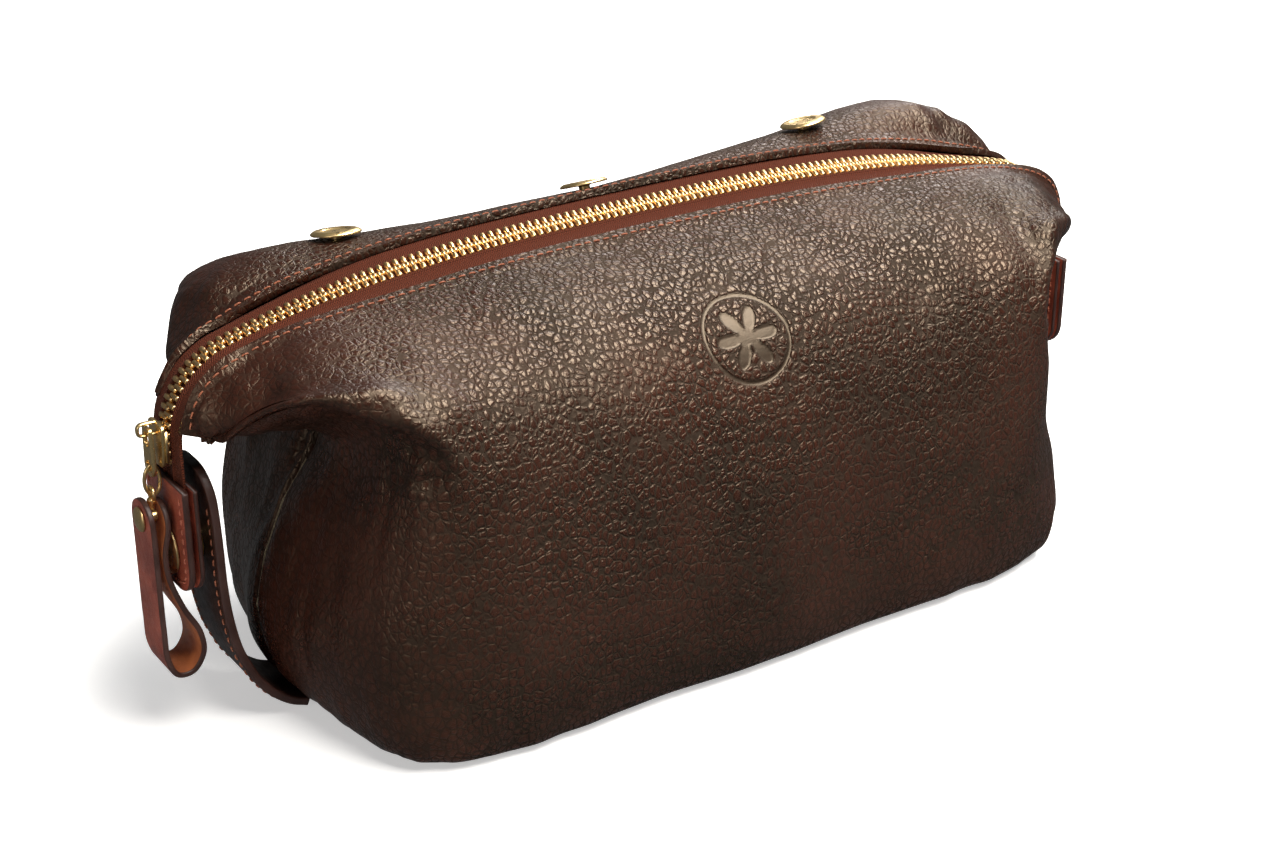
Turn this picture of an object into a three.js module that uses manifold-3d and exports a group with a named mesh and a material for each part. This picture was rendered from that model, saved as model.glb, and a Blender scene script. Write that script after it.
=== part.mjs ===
// Leather toiletry bag with a brass zip, folded gable ends, end tabs and end straps.
// Millimetres, +Z up, X along the bag, front is -Y. Origin at the middle of the flat base.
import * as THREE from 'three';
import { mergeVertices } from 'three/addons/utils/BufferGeometryUtils.js';
import Module from 'manifold-3d';

const wasm = await Module();
wasm.setup();

// ---------------------------------------------------------------- driving dimensions
const LEATHER = 2.0;            // body leather
const LINING = 0.8;             // cloth lining
const LINING_GAP = 0.5;         // free space between leather and lining
const GAP = 0.3;                // clearance between touching pieces

const ZIP_Y = 2.5;              // plane of the chain, tabs and straps
const TIP_X = 151.6;            // chain at the left end, where it hangs straight down
const RIGHT_REACH = 5;          // the right end of the zip lies this much further out
const BEND_R = 24;              // radius of the chain's bend at each end
const BEND_Z = 86.5;            // height of the bend centre
const BEND_X = TIP_X - BEND_R;
const BEND_TOP = 106;           // degrees, where the bend meets the ridge
const CHAIN_END_Z = 77.8;       // lower end of the chain and its tape
const RIDGE_TILT = 18;          // degrees, the zip leans toward the front in the middle
const TILT_RUN = 60;            // length over which the lean fades toward the ends

const TAPE = 0.7;               // woven tape thickness
const TAPE_RIDGE = 11.2;        // chain centre to tape edge along the ridge
const TAPE_BEND = 8;            // the same round the bends, where the tape narrows
const TEETH = { from: 0.7, to: 3, thick: 2.4 };   // one row, measured from the chain's centre
const EDGE_FRONT = 9.5;         // chain centre to the front leather edge
const EDGE_BACK = 8.8;          // chain centre to the back leather edge
const EDGE_LIFT = 2.9;          // leather surface above the tape along the ridge
const EDGE_LIFT_TIP = 1.3;      // and at the tips

const STUD_R = 7.3;             // press-stud cap radius
const STUD_SPACING = 82;        // between the three studs on the back

const TAB = { wide: 26, top: 76.4, bottom: 45, corner: 8, outer: 1.8, inner: 1.3 };
const SNAP_Z = 55.6;              // snap height on the end tabs
const SNAP_BORE = 2.6;
const STRAP = { wide: 25, thick: 2.6, jointLow: 17, jointHigh: 18.4, top: 80 };
const SLIDER = { long: 12.6, wide: 9.4, plate: 1.1, above: 2.2, below: 2.5 };
const PULLER = { x: 157, thick: 1.2, wide: 6.2, top: 91.8, bottom: 77.6, hole: 1.6, slot: 4.5 };
const PULL = { wide: 14, thick: 1.6, top: 71.5, rivetZ: 66 };

// ---------------------------------------------------------------- finishes
const material = (color, roughness, metalness = 0) =>
  new THREE.MeshStandardMaterial({ color, roughness, metalness });
const hide = material(0x3a241a, 0.5);
const liningCloth = material(0x8a7a64, 0.9);
const tapeCloth = material(0x58230f, 0.85);
const tan = material(0x8a4a35, 0.5);
const brass = material(0xd9b45a, 0.25, 1);

const bag = new THREE.Group();
const rad = THREE.MathUtils.degToRad;
const v3 = (x, y, z) => new THREE.Vector3(x, y, z);

function add(name, geometry, finish) {
  geometry.deleteAttribute('uv');
  geometry.deleteAttribute('normal');
  const welded = mergeVertices(geometry, 1e-4);
  welded.computeVertexNormals();
  const mesh = new THREE.Mesh(welded, finish);
  mesh.name = name;
  bag.add(mesh);
  return mesh;
}

// ---------------------------------------------------------------- solids and booleans
function toManifold(geometry) {
  const g = geometry.index ? geometry.clone() : geometry;
  g.deleteAttribute('uv');
  g.deleteAttribute('normal');
  const m = mergeVertices(g, 1e-4);
  return new wasm.Manifold(new wasm.Mesh({
    numProp: 3,
    vertProperties: new Float32Array(m.attributes.position.array),
    triVerts: new Uint32Array(m.index.array),
  }));
}

function toGeometry(manifold) {
  const mesh = manifold.getMesh();
  const g = new THREE.BufferGeometry();
  g.setAttribute('position', new THREE.BufferAttribute(mesh.vertProperties, 3));
  g.setIndex(new THREE.BufferAttribute(mesh.triVerts, 1));
  return g;
}

const cut = (geometry, tools) =>
  toGeometry(tools.reduce((solid, tool) => solid.subtract(toManifold(tool)), toManifold(geometry)));
const join = (...pieces) =>
  toGeometry(pieces.slice(1).reduce((s, p) => s.add(toManifold(p)), toManifold(pieces[0])));
const common = (a, b) => toGeometry(toManifold(a).intersect(toManifold(b)));

// Closed solid between two grids of points that share rows and columns.
function slab(outer, inner) {
  const rows = outer.length, cols = outer[0].length, index = [];
  const points = [...outer.flat(), ...inner.flat()].flatMap((p) => [p.x, p.y, p.z]);
  const at = (r, c, side) => side * rows * cols + r * cols + c;
  const quad = (a, b, c, d) => index.push(a, b, c, a, c, d);
  for (let r = 0; r < rows - 1; r++) {
    for (let c = 0; c < cols - 1; c++) {
      quad(at(r, c, 0), at(r, c + 1, 0), at(r + 1, c + 1, 0), at(r + 1, c, 0));
      quad(at(r, c, 1), at(r + 1, c, 1), at(r + 1, c + 1, 1), at(r, c + 1, 1));
    }
  }
  for (let c = 0; c < cols - 1; c++) {
    quad(at(0, c, 0), at(0, c, 1), at(0, c + 1, 1), at(0, c + 1, 0));
    quad(at(rows - 1, c, 0), at(rows - 1, c + 1, 0), at(rows - 1, c + 1, 1), at(rows - 1, c, 1));
  }
  for (let r = 0; r < rows - 1; r++) {
    quad(at(r, 0, 0), at(r + 1, 0, 0), at(r + 1, 0, 1), at(r, 0, 1));
    quad(at(r, cols - 1, 0), at(r, cols - 1, 1), at(r + 1, cols - 1, 1), at(r + 1, cols - 1, 0));
  }
  const g = new THREE.BufferGeometry();
  g.setAttribute('position', new THREE.Float32BufferAttribute(points, 3));
  g.setIndex(index);
  return outward(g);
}

// Turns every face round when the solid's signed volume is negative.
function outward(g) {
  const p = g.attributes.position, ix = g.index, corner = [v3(), v3(), v3()];
  let volume = 0;
  for (let i = 0; i < ix.count; i += 3) {
    corner.forEach((v, k) => v.fromBufferAttribute(p, ix.getX(i + k)));
    volume += corner[0].dot(corner[1].clone().cross(corner[2]));
  }
  if (volume < 0) {
    for (let i = 0; i < ix.count; i += 3) {
      const keep = ix.getX(i);
      ix.setX(i, ix.getX(i + 1));
      ix.setX(i + 1, keep);
    }
  }
  return g;
}

// Outline in the XZ plane, pushed along Y by width about the plane y = middle.
function sideExtrude(shape, width, middle = ZIP_Y, curveSegments = 6) {
  const g = new THREE.ExtrudeGeometry(shape, { depth: width, bevelEnabled: false, curveSegments });
  return g.rotateX(Math.PI / 2).translate(0, middle + width / 2, 0);
}

// Outline in the YZ plane, pushed along X from x0 to x1.
function endExtrude(shape, x0, x1, curveSegments = 5) {
  const g = new THREE.ExtrudeGeometry(shape, { depth: x1 - x0, bevelEnabled: false, curveSegments });
  return g.rotateX(Math.PI / 2).rotateZ(Math.PI / 2).translate(x0, 0, 0);
}

// Turned piece whose axis starts at a point and runs along a direction; profile is [radius, along].
function turned(profile, origin, direction, segments = 20) {
  const g = new THREE.LatheGeometry(profile.map(([r, h]) => new THREE.Vector2(r, h)), segments);
  g.applyQuaternion(new THREE.Quaternion().setFromUnitVectors(v3(0, 1, 0), direction));
  return outward(g.translate(origin.x, origin.y, origin.z));
}

// ---------------------------------------------------------------- zip path
// Left half of the chain's centre line by distance from the middle of the bag.
const bendTop = rad(BEND_TOP);
const RIDGE_X = BEND_X - BEND_R * Math.cos(bendTop);
const RIDGE_Z = BEND_Z + BEND_R * Math.sin(bendTop);
const RIDGE_DROP = Math.tan(bendTop - Math.PI / 2) * RIDGE_X / 3;
const BEND_LENGTH = BEND_R * (Math.PI - bendTop);

function zipPoint(distance) {
  const x = Math.min(distance, RIDGE_X);
  const past = distance - RIDGE_X;
  const tilt = rad(RIDGE_TILT) * THREE.MathUtils.smoothstep(RIDGE_X - x, 0, TILT_RUN);
  const across = v3(0, Math.cos(tilt), Math.sin(tilt));
  let point, slope;
  if (past <= 0) {
    point = v3(-x, ZIP_Y, RIDGE_Z + RIDGE_DROP * (1 - (x / RIDGE_X) ** 3));
    slope = Math.PI + Math.atan(3 * RIDGE_DROP * x * x / RIDGE_X ** 3);
  } else if (past < BEND_LENGTH) {
    const a = bendTop + past / BEND_R;
    point = v3(-BEND_X + BEND_R * Math.cos(a), ZIP_Y, BEND_Z + BEND_R * Math.sin(a));
    slope = a + Math.PI / 2;
  } else {
    point = v3(-TIP_X, ZIP_Y, BEND_Z - (past - BEND_LENGTH));
    slope = Math.PI * 1.5;
  }
  const along = v3(Math.cos(slope), 0, Math.sin(slope));
  const up = across.clone().cross(along).normalize();
  return { point, across, up };
}
const ZIP_HALF = RIDGE_X + BEND_LENGTH + BEND_Z - CHAIN_END_Z;

// Right half of a symmetric point, with the longer right tip.
function mirrored(p) {
  return v3(-p.x + RIGHT_REACH * THREE.MathUtils.smoothstep(-p.x, 115, 148), p.y, p.z);
}

// Point at a distance from the middle (negative is the left half), off to the side and above.
function zipAt(distance, side, above) {
  const { point, across, up } = zipPoint(Math.abs(distance));
  const p = point.clone().addScaledVector(across, side).addScaledVector(up, above);
  return distance > 0 ? mirrored(p) : p;
}

// ---------------------------------------------------------------- body shell
// Each ring runs from the middle of the front (or back) through the corner to the end seam.
// mid: [depth, z]; corner and tip: [x, depth, z]; seam: [x, z], and its depth where the ring
// ends beside the zip instead of at the seam. Bottom ring first.
const FRONT_RINGS = [
  { mid: [57, 0], corner: [110, 56, 0], tip: [113, 9, 0], seam: [114, 0] },
  { mid: [63, 2.4], corner: [116, 62, 2.4], tip: [119, 9, 2.4], seam: [120, 2.4] },
  { mid: [66, 10], corner: [118, 65, 10], tip: [126, 9, 10], seam: [128, 10] },
  { mid: [68, 34], corner: [117, 68, 34], tip: [131, 9, 32], seam: [134, 32] },
  { mid: [66, 64], corner: [112, 69, 66], tip: [122, 9, 62], seam: [124, 62] },
  { mid: [59, 88], corner: [109, 68, 92], tip: [113, 9, 83], seam: [111, 82, 1] },
  { mid: [50, 101], corner: [118, 60, 109], tip: [144.5, 12, 93], seam: [142, 85, 4] },
  { mid: [30, 114], corner: [121, 34, 116], tip: [146.5, 14, 95], seam: [145.5, 90, 9.5] },
];
const BACK_RINGS = [
  { mid: [57, 0], corner: [110, 56, 0], tip: [113, 9, 0], seam: [114, 0] },
  { mid: [63, 2.4], corner: [116, 62, 2.4], tip: [119, 9, 2.4], seam: [120, 2.4] },
  { mid: [65, 10], corner: [117, 64, 10], tip: [126, 9, 10], seam: [128, 10] },
  { mid: [66, 34], corner: [116, 67, 34], tip: [131, 9, 32], seam: [134, 32] },
  { mid: [66, 66], corner: [111, 69, 68], tip: [121, 9, 62], seam: [124, 62] },
  { mid: [63, 92], corner: [109, 66, 96], tip: [113, 9, 83], seam: [111, 82, 1] },
  { mid: [55, 107], corner: [121, 57, 116], tip: [147, 19, 96], seam: [142, 85, 4] },
  { mid: [34, 119], corner: [120, 35, 125], tip: [148, 19, 97], seam: [146, 90, 13.5] },
];
const CORNER_AT = 0.5, TIP_AT = 0.86;     // where corner and tip lie along a ring, 0 to 1
const MID_AT = 0.34;                      // a ring keeps its middle depth and height up to here
const CORNER_SOFT = 0.13;                 // how far the rounding reaches each way
const SEAM_Y = 0.5;
const LEATHER_END = [ZIP_HALF - 14.5, ZIP_HALF - 19];   // front and back leather edges end here
const BACK_LEAN = 0.055;                  // the back's top rises towards the right end
const RIGHT_WAIST = 4.5, RIGHT_FOOT = 2.5;   // the right end is drawn in at the waist, wider below

function straightRing(ring, side, s) {
  const knots = [0, MID_AT, CORNER_AT, TIP_AT, 1];
  const points = [
    v3(0, side * ring.mid[0], ring.mid[1]),
    v3(-ring.corner[0] * MID_AT / CORNER_AT, side * ring.mid[0], ring.mid[1]),
    v3(-ring.corner[0], side * ring.corner[1], ring.corner[2]),
    v3(-ring.tip[0], side * ring.tip[1], ring.tip[2]),
    v3(-ring.seam[0], side * (ring.seam[2] ?? SEAM_Y), ring.seam[1]),
  ];
  const t = Math.abs(s);
  const k = t < knots[1] ? 0 : t < knots[2] ? 1 : t < knots[3] ? 2 : 3;
  const f = (Math.min(t, 1) - knots[k]) / (knots[k + 1] - knots[k]);
  return points[k].lerp(points[k + 1], f);
}

// The ring with its corners rounded: the straight ring averaged over a short stretch.
function softRing(ring, side, s) {
  const reach = Math.min(CORNER_SOFT, s, 1 - s);
  const steps = 8, sum = v3();
  for (let i = 0; i <= steps; i++) {
    sum.add(straightRing(ring, side, s + reach * (2 * i / steps - 1)));
  }
  return sum.divideScalar(steps + 1);
}

// Along the zip the last ring follows the chain.
function zipEdge(side, s) {
  const share = s < CORNER_AT ? 1.4 * s : 0.7 + 0.6 * (s - CORNER_AT);
  const lift = THREE.MathUtils.lerp(EDGE_LIFT, EDGE_LIFT_TIP, THREE.MathUtils.smoothstep(s, 0.85, 1));
  const end = LEATHER_END[side < 0 ? 0 : 1];
  return zipAt(-share * end, side * (side < 0 ? EDGE_FRONT : EDGE_BACK), lift);
}

// Surface of the front (side -1) or back (side 1): u from -1 to 1 along, v from 0 to 1 up.
function shell(side, u, v) {
  const rings = side < 0 ? FRONT_RINGS : BACK_RINGS;
  const s = Math.abs(u);
  const column = [...rings.map((ring) => softRing(ring, side, s)), zipEdge(side, s)];
  const left = new THREE.CatmullRomCurve3(column, false, 'centripetal').getPoint(v);
  const p = u > 0 ? mirrored(left) : left;
  if (side > 0) {
    const high = THREE.MathUtils.smoothstep(v, 0.55, 0.8) - THREE.MathUtils.smoothstep(v, 0.9, 1);
    p.z += BACK_LEAN * Math.max(p.x, 0) * high * THREE.MathUtils.smoothstep(1 - s, 0, 0.3);
  }
  if (u > 0) {
    const reach = THREE.MathUtils.smoothstep(p.x, 85, 112);
    p.x += reach * (RIGHT_FOOT * bell(p.z, 8, 14) - RIGHT_WAIST * bell(p.z, 48, 20));
  }
  return p;
}

const bell = (x, middle, spread) => Math.exp(-(((x - middle) / spread) ** 2));

function shellNormal(side, u, v) {
  const e = 0.004;
  const clampV = (t) => Math.min(1, Math.max(0, t));
  const du = shell(side, Math.min(1, u + e), v).sub(shell(side, Math.max(-1, u - e), v));
  const dv = shell(side, u, clampV(v + e)).sub(shell(side, u, clampV(v - e)));
  const normal = du.cross(dv).normalize().multiplyScalar(-side);
  normal.y *= 1 - THREE.MathUtils.smoothstep(Math.abs(u), 0.8, 1);
  return normal.normalize();
}

function shellSolid(side, depth0, depth1, vLow, vHigh, columns, rows) {
  const grid = (depth) => Array.from({ length: rows + 1 }, (_, r) =>
    Array.from({ length: columns + 1 }, (_, c) => {
      const u = -1 + 2 * c / columns, v = vLow + (vHigh - vLow) * r / rows;
      return shell(side, u, v).addScaledVector(shellNormal(side, u, v), -depth);
    }));
  return slab(grid(depth0), grid(depth1));
}

// ---------------------------------------------------------------- three studs on the back
const STUD_V = 0.905, STUD_SHIFT = -5;
const studs = [-1, 0, 1].map((place) => {
  let u = place * 0.34;
  for (let i = 0; i < 20; i++) u += (place * STUD_SPACING + STUD_SHIFT - shell(1, u, STUD_V).x) * 0.002;
  return { point: shell(1, u, STUD_V), normal: shellNormal(1, u, STUD_V) };
});
const studBores = studs.map(({ point, normal }) =>
  turned([[0, -8], [2.3, -8], [2.3, 4], [0, 4]], point, normal, 12));

const SHELL_COLUMNS = 28, SHELL_ROWS = 16;
add('front_panel', shellSolid(-1, 0, LEATHER, 0, 1, SHELL_COLUMNS, SHELL_ROWS), hide);
add('back_panel', cut(shellSolid(1, 0, LEATHER, 0, 1, SHELL_COLUMNS, SHELL_ROWS), studBores), hide);

// The lining follows the leather up to the tuck below the folds.
for (const [name, side] of [['front_lining', -1], ['back_lining', 1]]) {
  const skin = LEATHER + LINING_GAP;
  const [low, high] = [1, 9];
  add(name, shellSolid(side, skin, skin + LINING, low / SHELL_ROWS, high / SHELL_ROWS,
    SHELL_COLUMNS, high - low), liningCloth);
}

// Flat base, set inside the lowest ring.
const BASE_INSET = 1.4;
const baseOutline = [-1, 1].flatMap((side) => Array.from({ length: SHELL_COLUMNS - 1 }, (_, i) => {
  const p = shell(side, side * (2 * (i + 1) / SHELL_COLUMNS - 1), 0);
  return new THREE.Vector2(p.x * (1 - BASE_INSET / 114), p.y - side * BASE_INSET);
}));
add('base_panel', new THREE.ExtrudeGeometry(new THREE.Shape(baseOutline),
  { depth: LEATHER, bevelEnabled: false }), hide);

const STUD_GAP = 0.8;           // the flat cap stands on slightly curved leather
for (const [i, { point, normal }] of studs.entries()) {
  const place = ['left', 'middle', 'right'][i];
  add(`back_stud_cap_${place}`, turned([[0, -4.6], [1.7, -4.6], [1.7, STUD_GAP],
    [STUD_R, STUD_GAP], [STUD_R, 1.3], [STUD_R - 1.2, 2], [4.2, 2], [3.7, 1.65], [0, 1.65]],
    point, normal), brass);
  const inside = -LEATHER - 1.5 * STUD_GAP;
  add(`back_stud_ring_${place}`, turned([[2.2, inside], [2.2, inside - 1.3],
    [4.4, inside - 1.3], [4.4, inside], [2.2, inside]], point, normal), brass);
}

// ---------------------------------------------------------------- zip
const ZIP_STEPS = 60;
function zipStrip(from, to, thick) {
  const grid = (above) => [from, to].map((edge) => Array.from({ length: ZIP_STEPS + 1 }, (_, i) => {
    const d = ZIP_HALF * (2 * i / ZIP_STEPS - 1);
    return zipAt(d, typeof edge === 'function' ? edge(Math.abs(d)) : edge, above);
  }));
  return slab(grid(thick / 2), grid(-thick / 2));
}
const tapeReach = (most) => (d) =>
  THREE.MathUtils.lerp(most, TAPE_BEND, THREE.MathUtils.smoothstep(d, RIDGE_X - 45, RIDGE_X - 8));
const tapeStart = TEETH.to + GAP;
const tapeFront = tapeReach(TAPE_RIDGE), tapeBack = tapeReach(EDGE_BACK - GAP);
add('zip_tape_front', zipStrip(-tapeStart, (d) => -tapeFront(d), TAPE), tapeCloth);
add('zip_tape_back', zipStrip(tapeStart, tapeBack, TAPE), tapeCloth);
add('zip_teeth_front', zipStrip(-TEETH.from, -TEETH.to, TEETH.thick), brass);
add('zip_teeth_back', zipStrip(TEETH.from, TEETH.to, TEETH.thick), brass);

// ---------------------------------------------------------------- outlines
function roundedRect(y0, y1, z0, z1, lowR, highR) {
  const s = new THREE.Shape();
  s.moveTo(y0 + lowR, z0);
  s.lineTo(y1 - lowR, z0);
  s.absarc(y1 - lowR, z0 + lowR, lowR, -Math.PI / 2, 0, false);
  s.absarc(y1 - highR, z1 - highR, highR, 0, Math.PI / 2, false);
  s.absarc(y0 + highR, z1 - highR, highR, Math.PI / 2, Math.PI, false);
  s.absarc(y0 + lowR, z0 + lowR, lowR, Math.PI, Math.PI * 1.5, false);
  return s;
}

// Outline of a strip of even thickness along a smooth path of [x, z] points.
function stripShape(path, thick, steps) {
  const curve = new THREE.SplineCurve(path.map(([x, z]) => new THREE.Vector2(x, z)));
  const sideOf = (h) => Array.from({ length: steps + 1 }, (_, i) => {
    const t = curve.getTangentAt(i / steps);
    return curve.getPointAt(i / steps).add(new THREE.Vector2(-t.y, t.x).multiplyScalar(h));
  });
  return new THREE.Shape([...sideOf(thick / 2), ...sideOf(-thick / 2).reverse()]);
}

// ---------------------------------------------------------------- ends: tail, tab, snap, strap
const STRAP_ROOT = [[-122.6, 2.3], [-127.5, 4.4], [-133, 9], [-137.2, 14.6], [-138.5, STRAP.jointLow]];
const STRAP_ARM = [[-139.2, STRAP.jointHigh], [-141.6, 25], [-143.6, 35], [-144.6, 46], [-144.8, 57],
  [-145.2, 68], [-146.2, STRAP.top]];
const STRAP_FACE = 146.1;       // outer face of the strap at the snap

const y0 = ZIP_Y - TAB.wide / 2, y1 = ZIP_Y + TAB.wide / 2;
const tabOuterX = TIP_X + TAPE / 2 + GAP, tabInnerX = TIP_X - TAPE / 2 - GAP;
const outerFace = tabOuterX + TAB.outer, innerFace = tabInnerX - TAB.inner;

function addEnd(name, mirror) {
  const place = (g) => (mirror < 0 ? g
    : outward(mergeVertices(bare(g)).scale(-1, 1, 1).translate(RIGHT_REACH, 0, 0)));
  const piece = (part, g, finish) => add(`${name}_${part}`, place(g), finish);
  const out = v3(-1, 0, 0);
  const snapBore = turned([[0, -6], [3.6, -6], [3.6, 6], [0, 6]],
    v3(-TIP_X, ZIP_Y, SNAP_Z), out, 16);

  piece('tail_tape', cut(endExtrude(roundedRect(y0 + 4, y1 - 4, TAB.bottom + 5, TAB.top + 0.3, 3, 1),
    -TIP_X - TAPE / 2, -TIP_X + TAPE / 2), [snapBore]), tapeCloth);
  const tabShape = roundedRect(y0, y1, TAB.bottom, TAB.top, TAB.corner, 1);
  piece('tab_outer', cut(endExtrude(tabShape, -outerFace, -tabOuterX), [snapBore]), tan);
  piece('tab_inner', cut(endExtrude(tabShape, -tabInnerX, -innerFace), [snapBore]), tan);

  piece('snap_cap', turned([[0, -3.2], [SNAP_BORE, -3.2], [SNAP_BORE, GAP], [STUD_R, GAP],
    [STUD_R, 0.8], [STUD_R - 1.1, 1.4], [0, 1.5]], v3(-outerFace, ZIP_Y, SNAP_Z), out), brass);
  piece('snap_socket', turned([[SNAP_BORE, GAP], [SNAP_BORE, 1.8], [4.6, 1.8], [5.8, 1.3],
    [5.8, GAP], [SNAP_BORE, GAP]], v3(-innerFace, ZIP_Y, SNAP_Z), v3(1, 0, 0)), brass);
  piece('snap_stud', turned([[0, GAP], [5, GAP], [5, 1.1], [2.1, 1.1], [2.1, 2.9], [0, 2.9]],
    v3(-STRAP_FACE, ZIP_Y, SNAP_Z), out), brass);

  piece('strap_root', sideExtrude(stripShape(STRAP_ROOT, STRAP.thick, 8), STRAP.wide), hide);
  const arm = sideExtrude(stripShape(STRAP_ARM, STRAP.thick, 14), STRAP.wide);
  const half = STRAP.wide / 2;
  const rounding = endExtrude(roundedRect(ZIP_Y - half - 1, ZIP_Y + half + 1, 10, STRAP.top + 0.2, 1, 9),
    -160, -130, 6);
  piece('strap_arm', common(arm, rounding), hide);
}

function bare(g) {
  g.deleteAttribute('uv');
  g.deleteAttribute('normal');
  return g;
}
addEnd('left', -1);
addEnd('right', 1);

// ---------------------------------------------------------------- slider and pull, left end
function addSlider() {
  const low = BEND_Z - SLIDER.long / 2, high = BEND_Z + SLIDER.long / 2;
  const half = SLIDER.wide / 2;
  const plateShape = roundedRect(ZIP_Y - half, ZIP_Y + half, low, high, 3, 1.5);
  const topFace = TIP_X + SLIDER.above, bottomFace = TIP_X - SLIDER.below;
  const block = (x0, x1, ya, yb, za, zb) =>
    new THREE.BoxGeometry(Math.abs(x1 - x0), yb - ya, zb - za)
      .translate((x0 + x1) / 2, (ya + yb) / 2, (za + zb) / 2);
  const pieces = [
    endExtrude(plateShape, -topFace - SLIDER.plate, -topFace),
    endExtrude(plateShape, -bottomFace, -bottomFace + SLIDER.plate),
    block(-topFace - 0.5, -bottomFace + 0.5, ZIP_Y - 0.4, ZIP_Y + 0.4, BEND_Z - 2, BEND_Z + 2),
  ];
  for (const side of [-1, 1]) {
    const y = ZIP_Y + side * (half - 0.5);
    pieces.push(block(-topFace - 0.3, -topFace + 1, y - 0.4, y + 0.4, low + 2, high - 1.5));
    pieces.push(block(-bottomFace - 0.8, -bottomFace + 0.3, y - 0.4, y + 0.4, low + 2, high - 1.5));
  }
  // Staple that carries the puller: two legs and a bar.
  const staple = PULLER.x + 2.2;
  for (const z of [PULLER.top + 1.1, PULLER.top - 2.1]) {
    pieces.push(block(-staple - 1, -topFace - 0.5, ZIP_Y - 0.7, ZIP_Y + 0.7, z - 0.5, z + 0.5));
  }
  pieces.push(block(-staple - 1, -staple, ZIP_Y - 0.7, ZIP_Y + 0.7, PULLER.top - 3.1, PULLER.top + 1.6));
  add('slider_body', join(...pieces), brass);
}

function addPuller() {
  const half = PULLER.wide / 2;
  const shape = new THREE.Shape();
  shape.moveTo(ZIP_Y - half * 0.8, PULLER.top);
  shape.lineTo(ZIP_Y - half, PULLER.bottom + half);
  shape.absarc(ZIP_Y, PULLER.bottom + half, half, Math.PI, Math.PI * 2, false);
  shape.lineTo(ZIP_Y + half * 0.8, PULLER.top);
  const hole = new THREE.Path();
  hole.absarc(ZIP_Y, PULLER.bottom + half, PULLER.hole, 0, Math.PI * 2, true);
  const slot = new THREE.Path();
  const slotTop = PULLER.top - 1 - PULLER.hole;
  slot.absarc(ZIP_Y, slotTop, PULLER.hole, Math.PI, 0, true);
  slot.absarc(ZIP_Y, slotTop - PULLER.slot + 2 * PULLER.hole, PULLER.hole, 0, -Math.PI, true);
  slot.closePath();
  shape.holes.push(slot, hole);
  add('puller', endExtrude(shape, -PULLER.x - PULLER.thick / 2, -PULLER.x + PULLER.thick / 2), brass);
}

// Wire link through the puller's lower hole, and the eye with its pin that enters the leather.
const LINK = { high: 80.8, low: 72.2, half: 2.2, wire: 0.55 };
function addLink() {
  const middle = (LINK.high + LINK.low) / 2;
  const link = new THREE.TorusGeometry(LINK.half, LINK.wire, 6, 18);
  link.rotateX(Math.PI / 2).scale(1, 1, (LINK.high - LINK.low) / 2 / LINK.half);
  add('pull_link', link.translate(-PULLER.x, ZIP_Y, middle), brass);
  const eye = new THREE.TorusGeometry(1.9, 0.5, 6, 14).rotateY(Math.PI / 2);
  eye.translate(-PULLER.x - 0.6, ZIP_Y, LINK.low + 0.4);
  const pin = turned([[0, -2], [0.6, -2], [1.1, 0.4], [0.9, 1.2], [0, 1.2]],
    v3(-PULLER.x - 0.8, ZIP_Y, LINK.low - 2.1), v3(0, 0, 1), 10);
  add('pull_eye', join(eye, pin), brass);
}

// One strip of leather folded into a loop, open at the bottom, riveted near the top.
function addPull() {
  const path = [[-155.9, PULL.top - 1], [-156.4, 64], [-157.8, 57.5], [-157.5, 50], [-154.4, 40],
    [-150.2, 31], [-149.8, 24.6], [-153.2, 19.8], [-157.6, 20], [-160, 25], [-160.4, 34],
    [-160.4, 52], [-160.4, PULL.top]];
  const strip = sideExtrude(stripShape(path, PULL.thick, 34), PULL.wide);
  const half = PULL.wide / 2;
  const rounding = endExtrude(roundedRect(ZIP_Y - half - 1, ZIP_Y + half + 1, 10, PULL.top, 1, 6.5),
    -170, -140);
  const centre = v3(-158.3, ZIP_Y, PULL.rivetZ);
  const bore = turned([[0, -6], [1.9, -6], [1.9, 6], [0, 6]], centre, v3(-1, 0, 0), 12);
  add('pull_tab', cut(common(strip, rounding), [bore]), tan);
  add('pull_rivet', turned([[0, -3.6], [2.4, -3.6], [2.4, -3.1], [1.5, -3.1], [1.5, 3.2], [3.5, 3.2],
    [3.5, 3.6], [2.4, 4.1], [0, 4.2]], centre, v3(-1, 0, 0), 16), brass);
}
addSlider();
addPuller();
addLink();
addPull();

export default bag;
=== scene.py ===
"""Dark brown leather toiletry bag with a brass zip, tan tabs and end straps, built round the CAD frame.

Shapes are worked out in millimetres in the CAD's frame (X along the bag, -Y front, Z up) and turned to metres
when a mesh is made.
"""

import math

import bmesh
import bpy
import numpy as np
from mathutils import Matrix, Vector


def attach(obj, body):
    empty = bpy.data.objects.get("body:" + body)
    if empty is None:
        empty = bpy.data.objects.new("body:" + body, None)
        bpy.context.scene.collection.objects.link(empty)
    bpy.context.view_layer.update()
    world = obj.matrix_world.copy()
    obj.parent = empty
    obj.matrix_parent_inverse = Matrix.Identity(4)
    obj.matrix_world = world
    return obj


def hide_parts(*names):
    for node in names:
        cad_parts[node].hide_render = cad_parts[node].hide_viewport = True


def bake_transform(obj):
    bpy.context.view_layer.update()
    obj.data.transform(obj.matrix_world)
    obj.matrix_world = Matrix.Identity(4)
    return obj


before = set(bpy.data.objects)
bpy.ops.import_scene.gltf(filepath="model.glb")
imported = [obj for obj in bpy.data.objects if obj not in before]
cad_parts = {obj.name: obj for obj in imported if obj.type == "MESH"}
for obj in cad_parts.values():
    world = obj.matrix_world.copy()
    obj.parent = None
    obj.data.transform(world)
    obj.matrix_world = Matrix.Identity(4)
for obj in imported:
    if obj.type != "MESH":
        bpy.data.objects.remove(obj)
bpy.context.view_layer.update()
MM = 0.001
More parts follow.
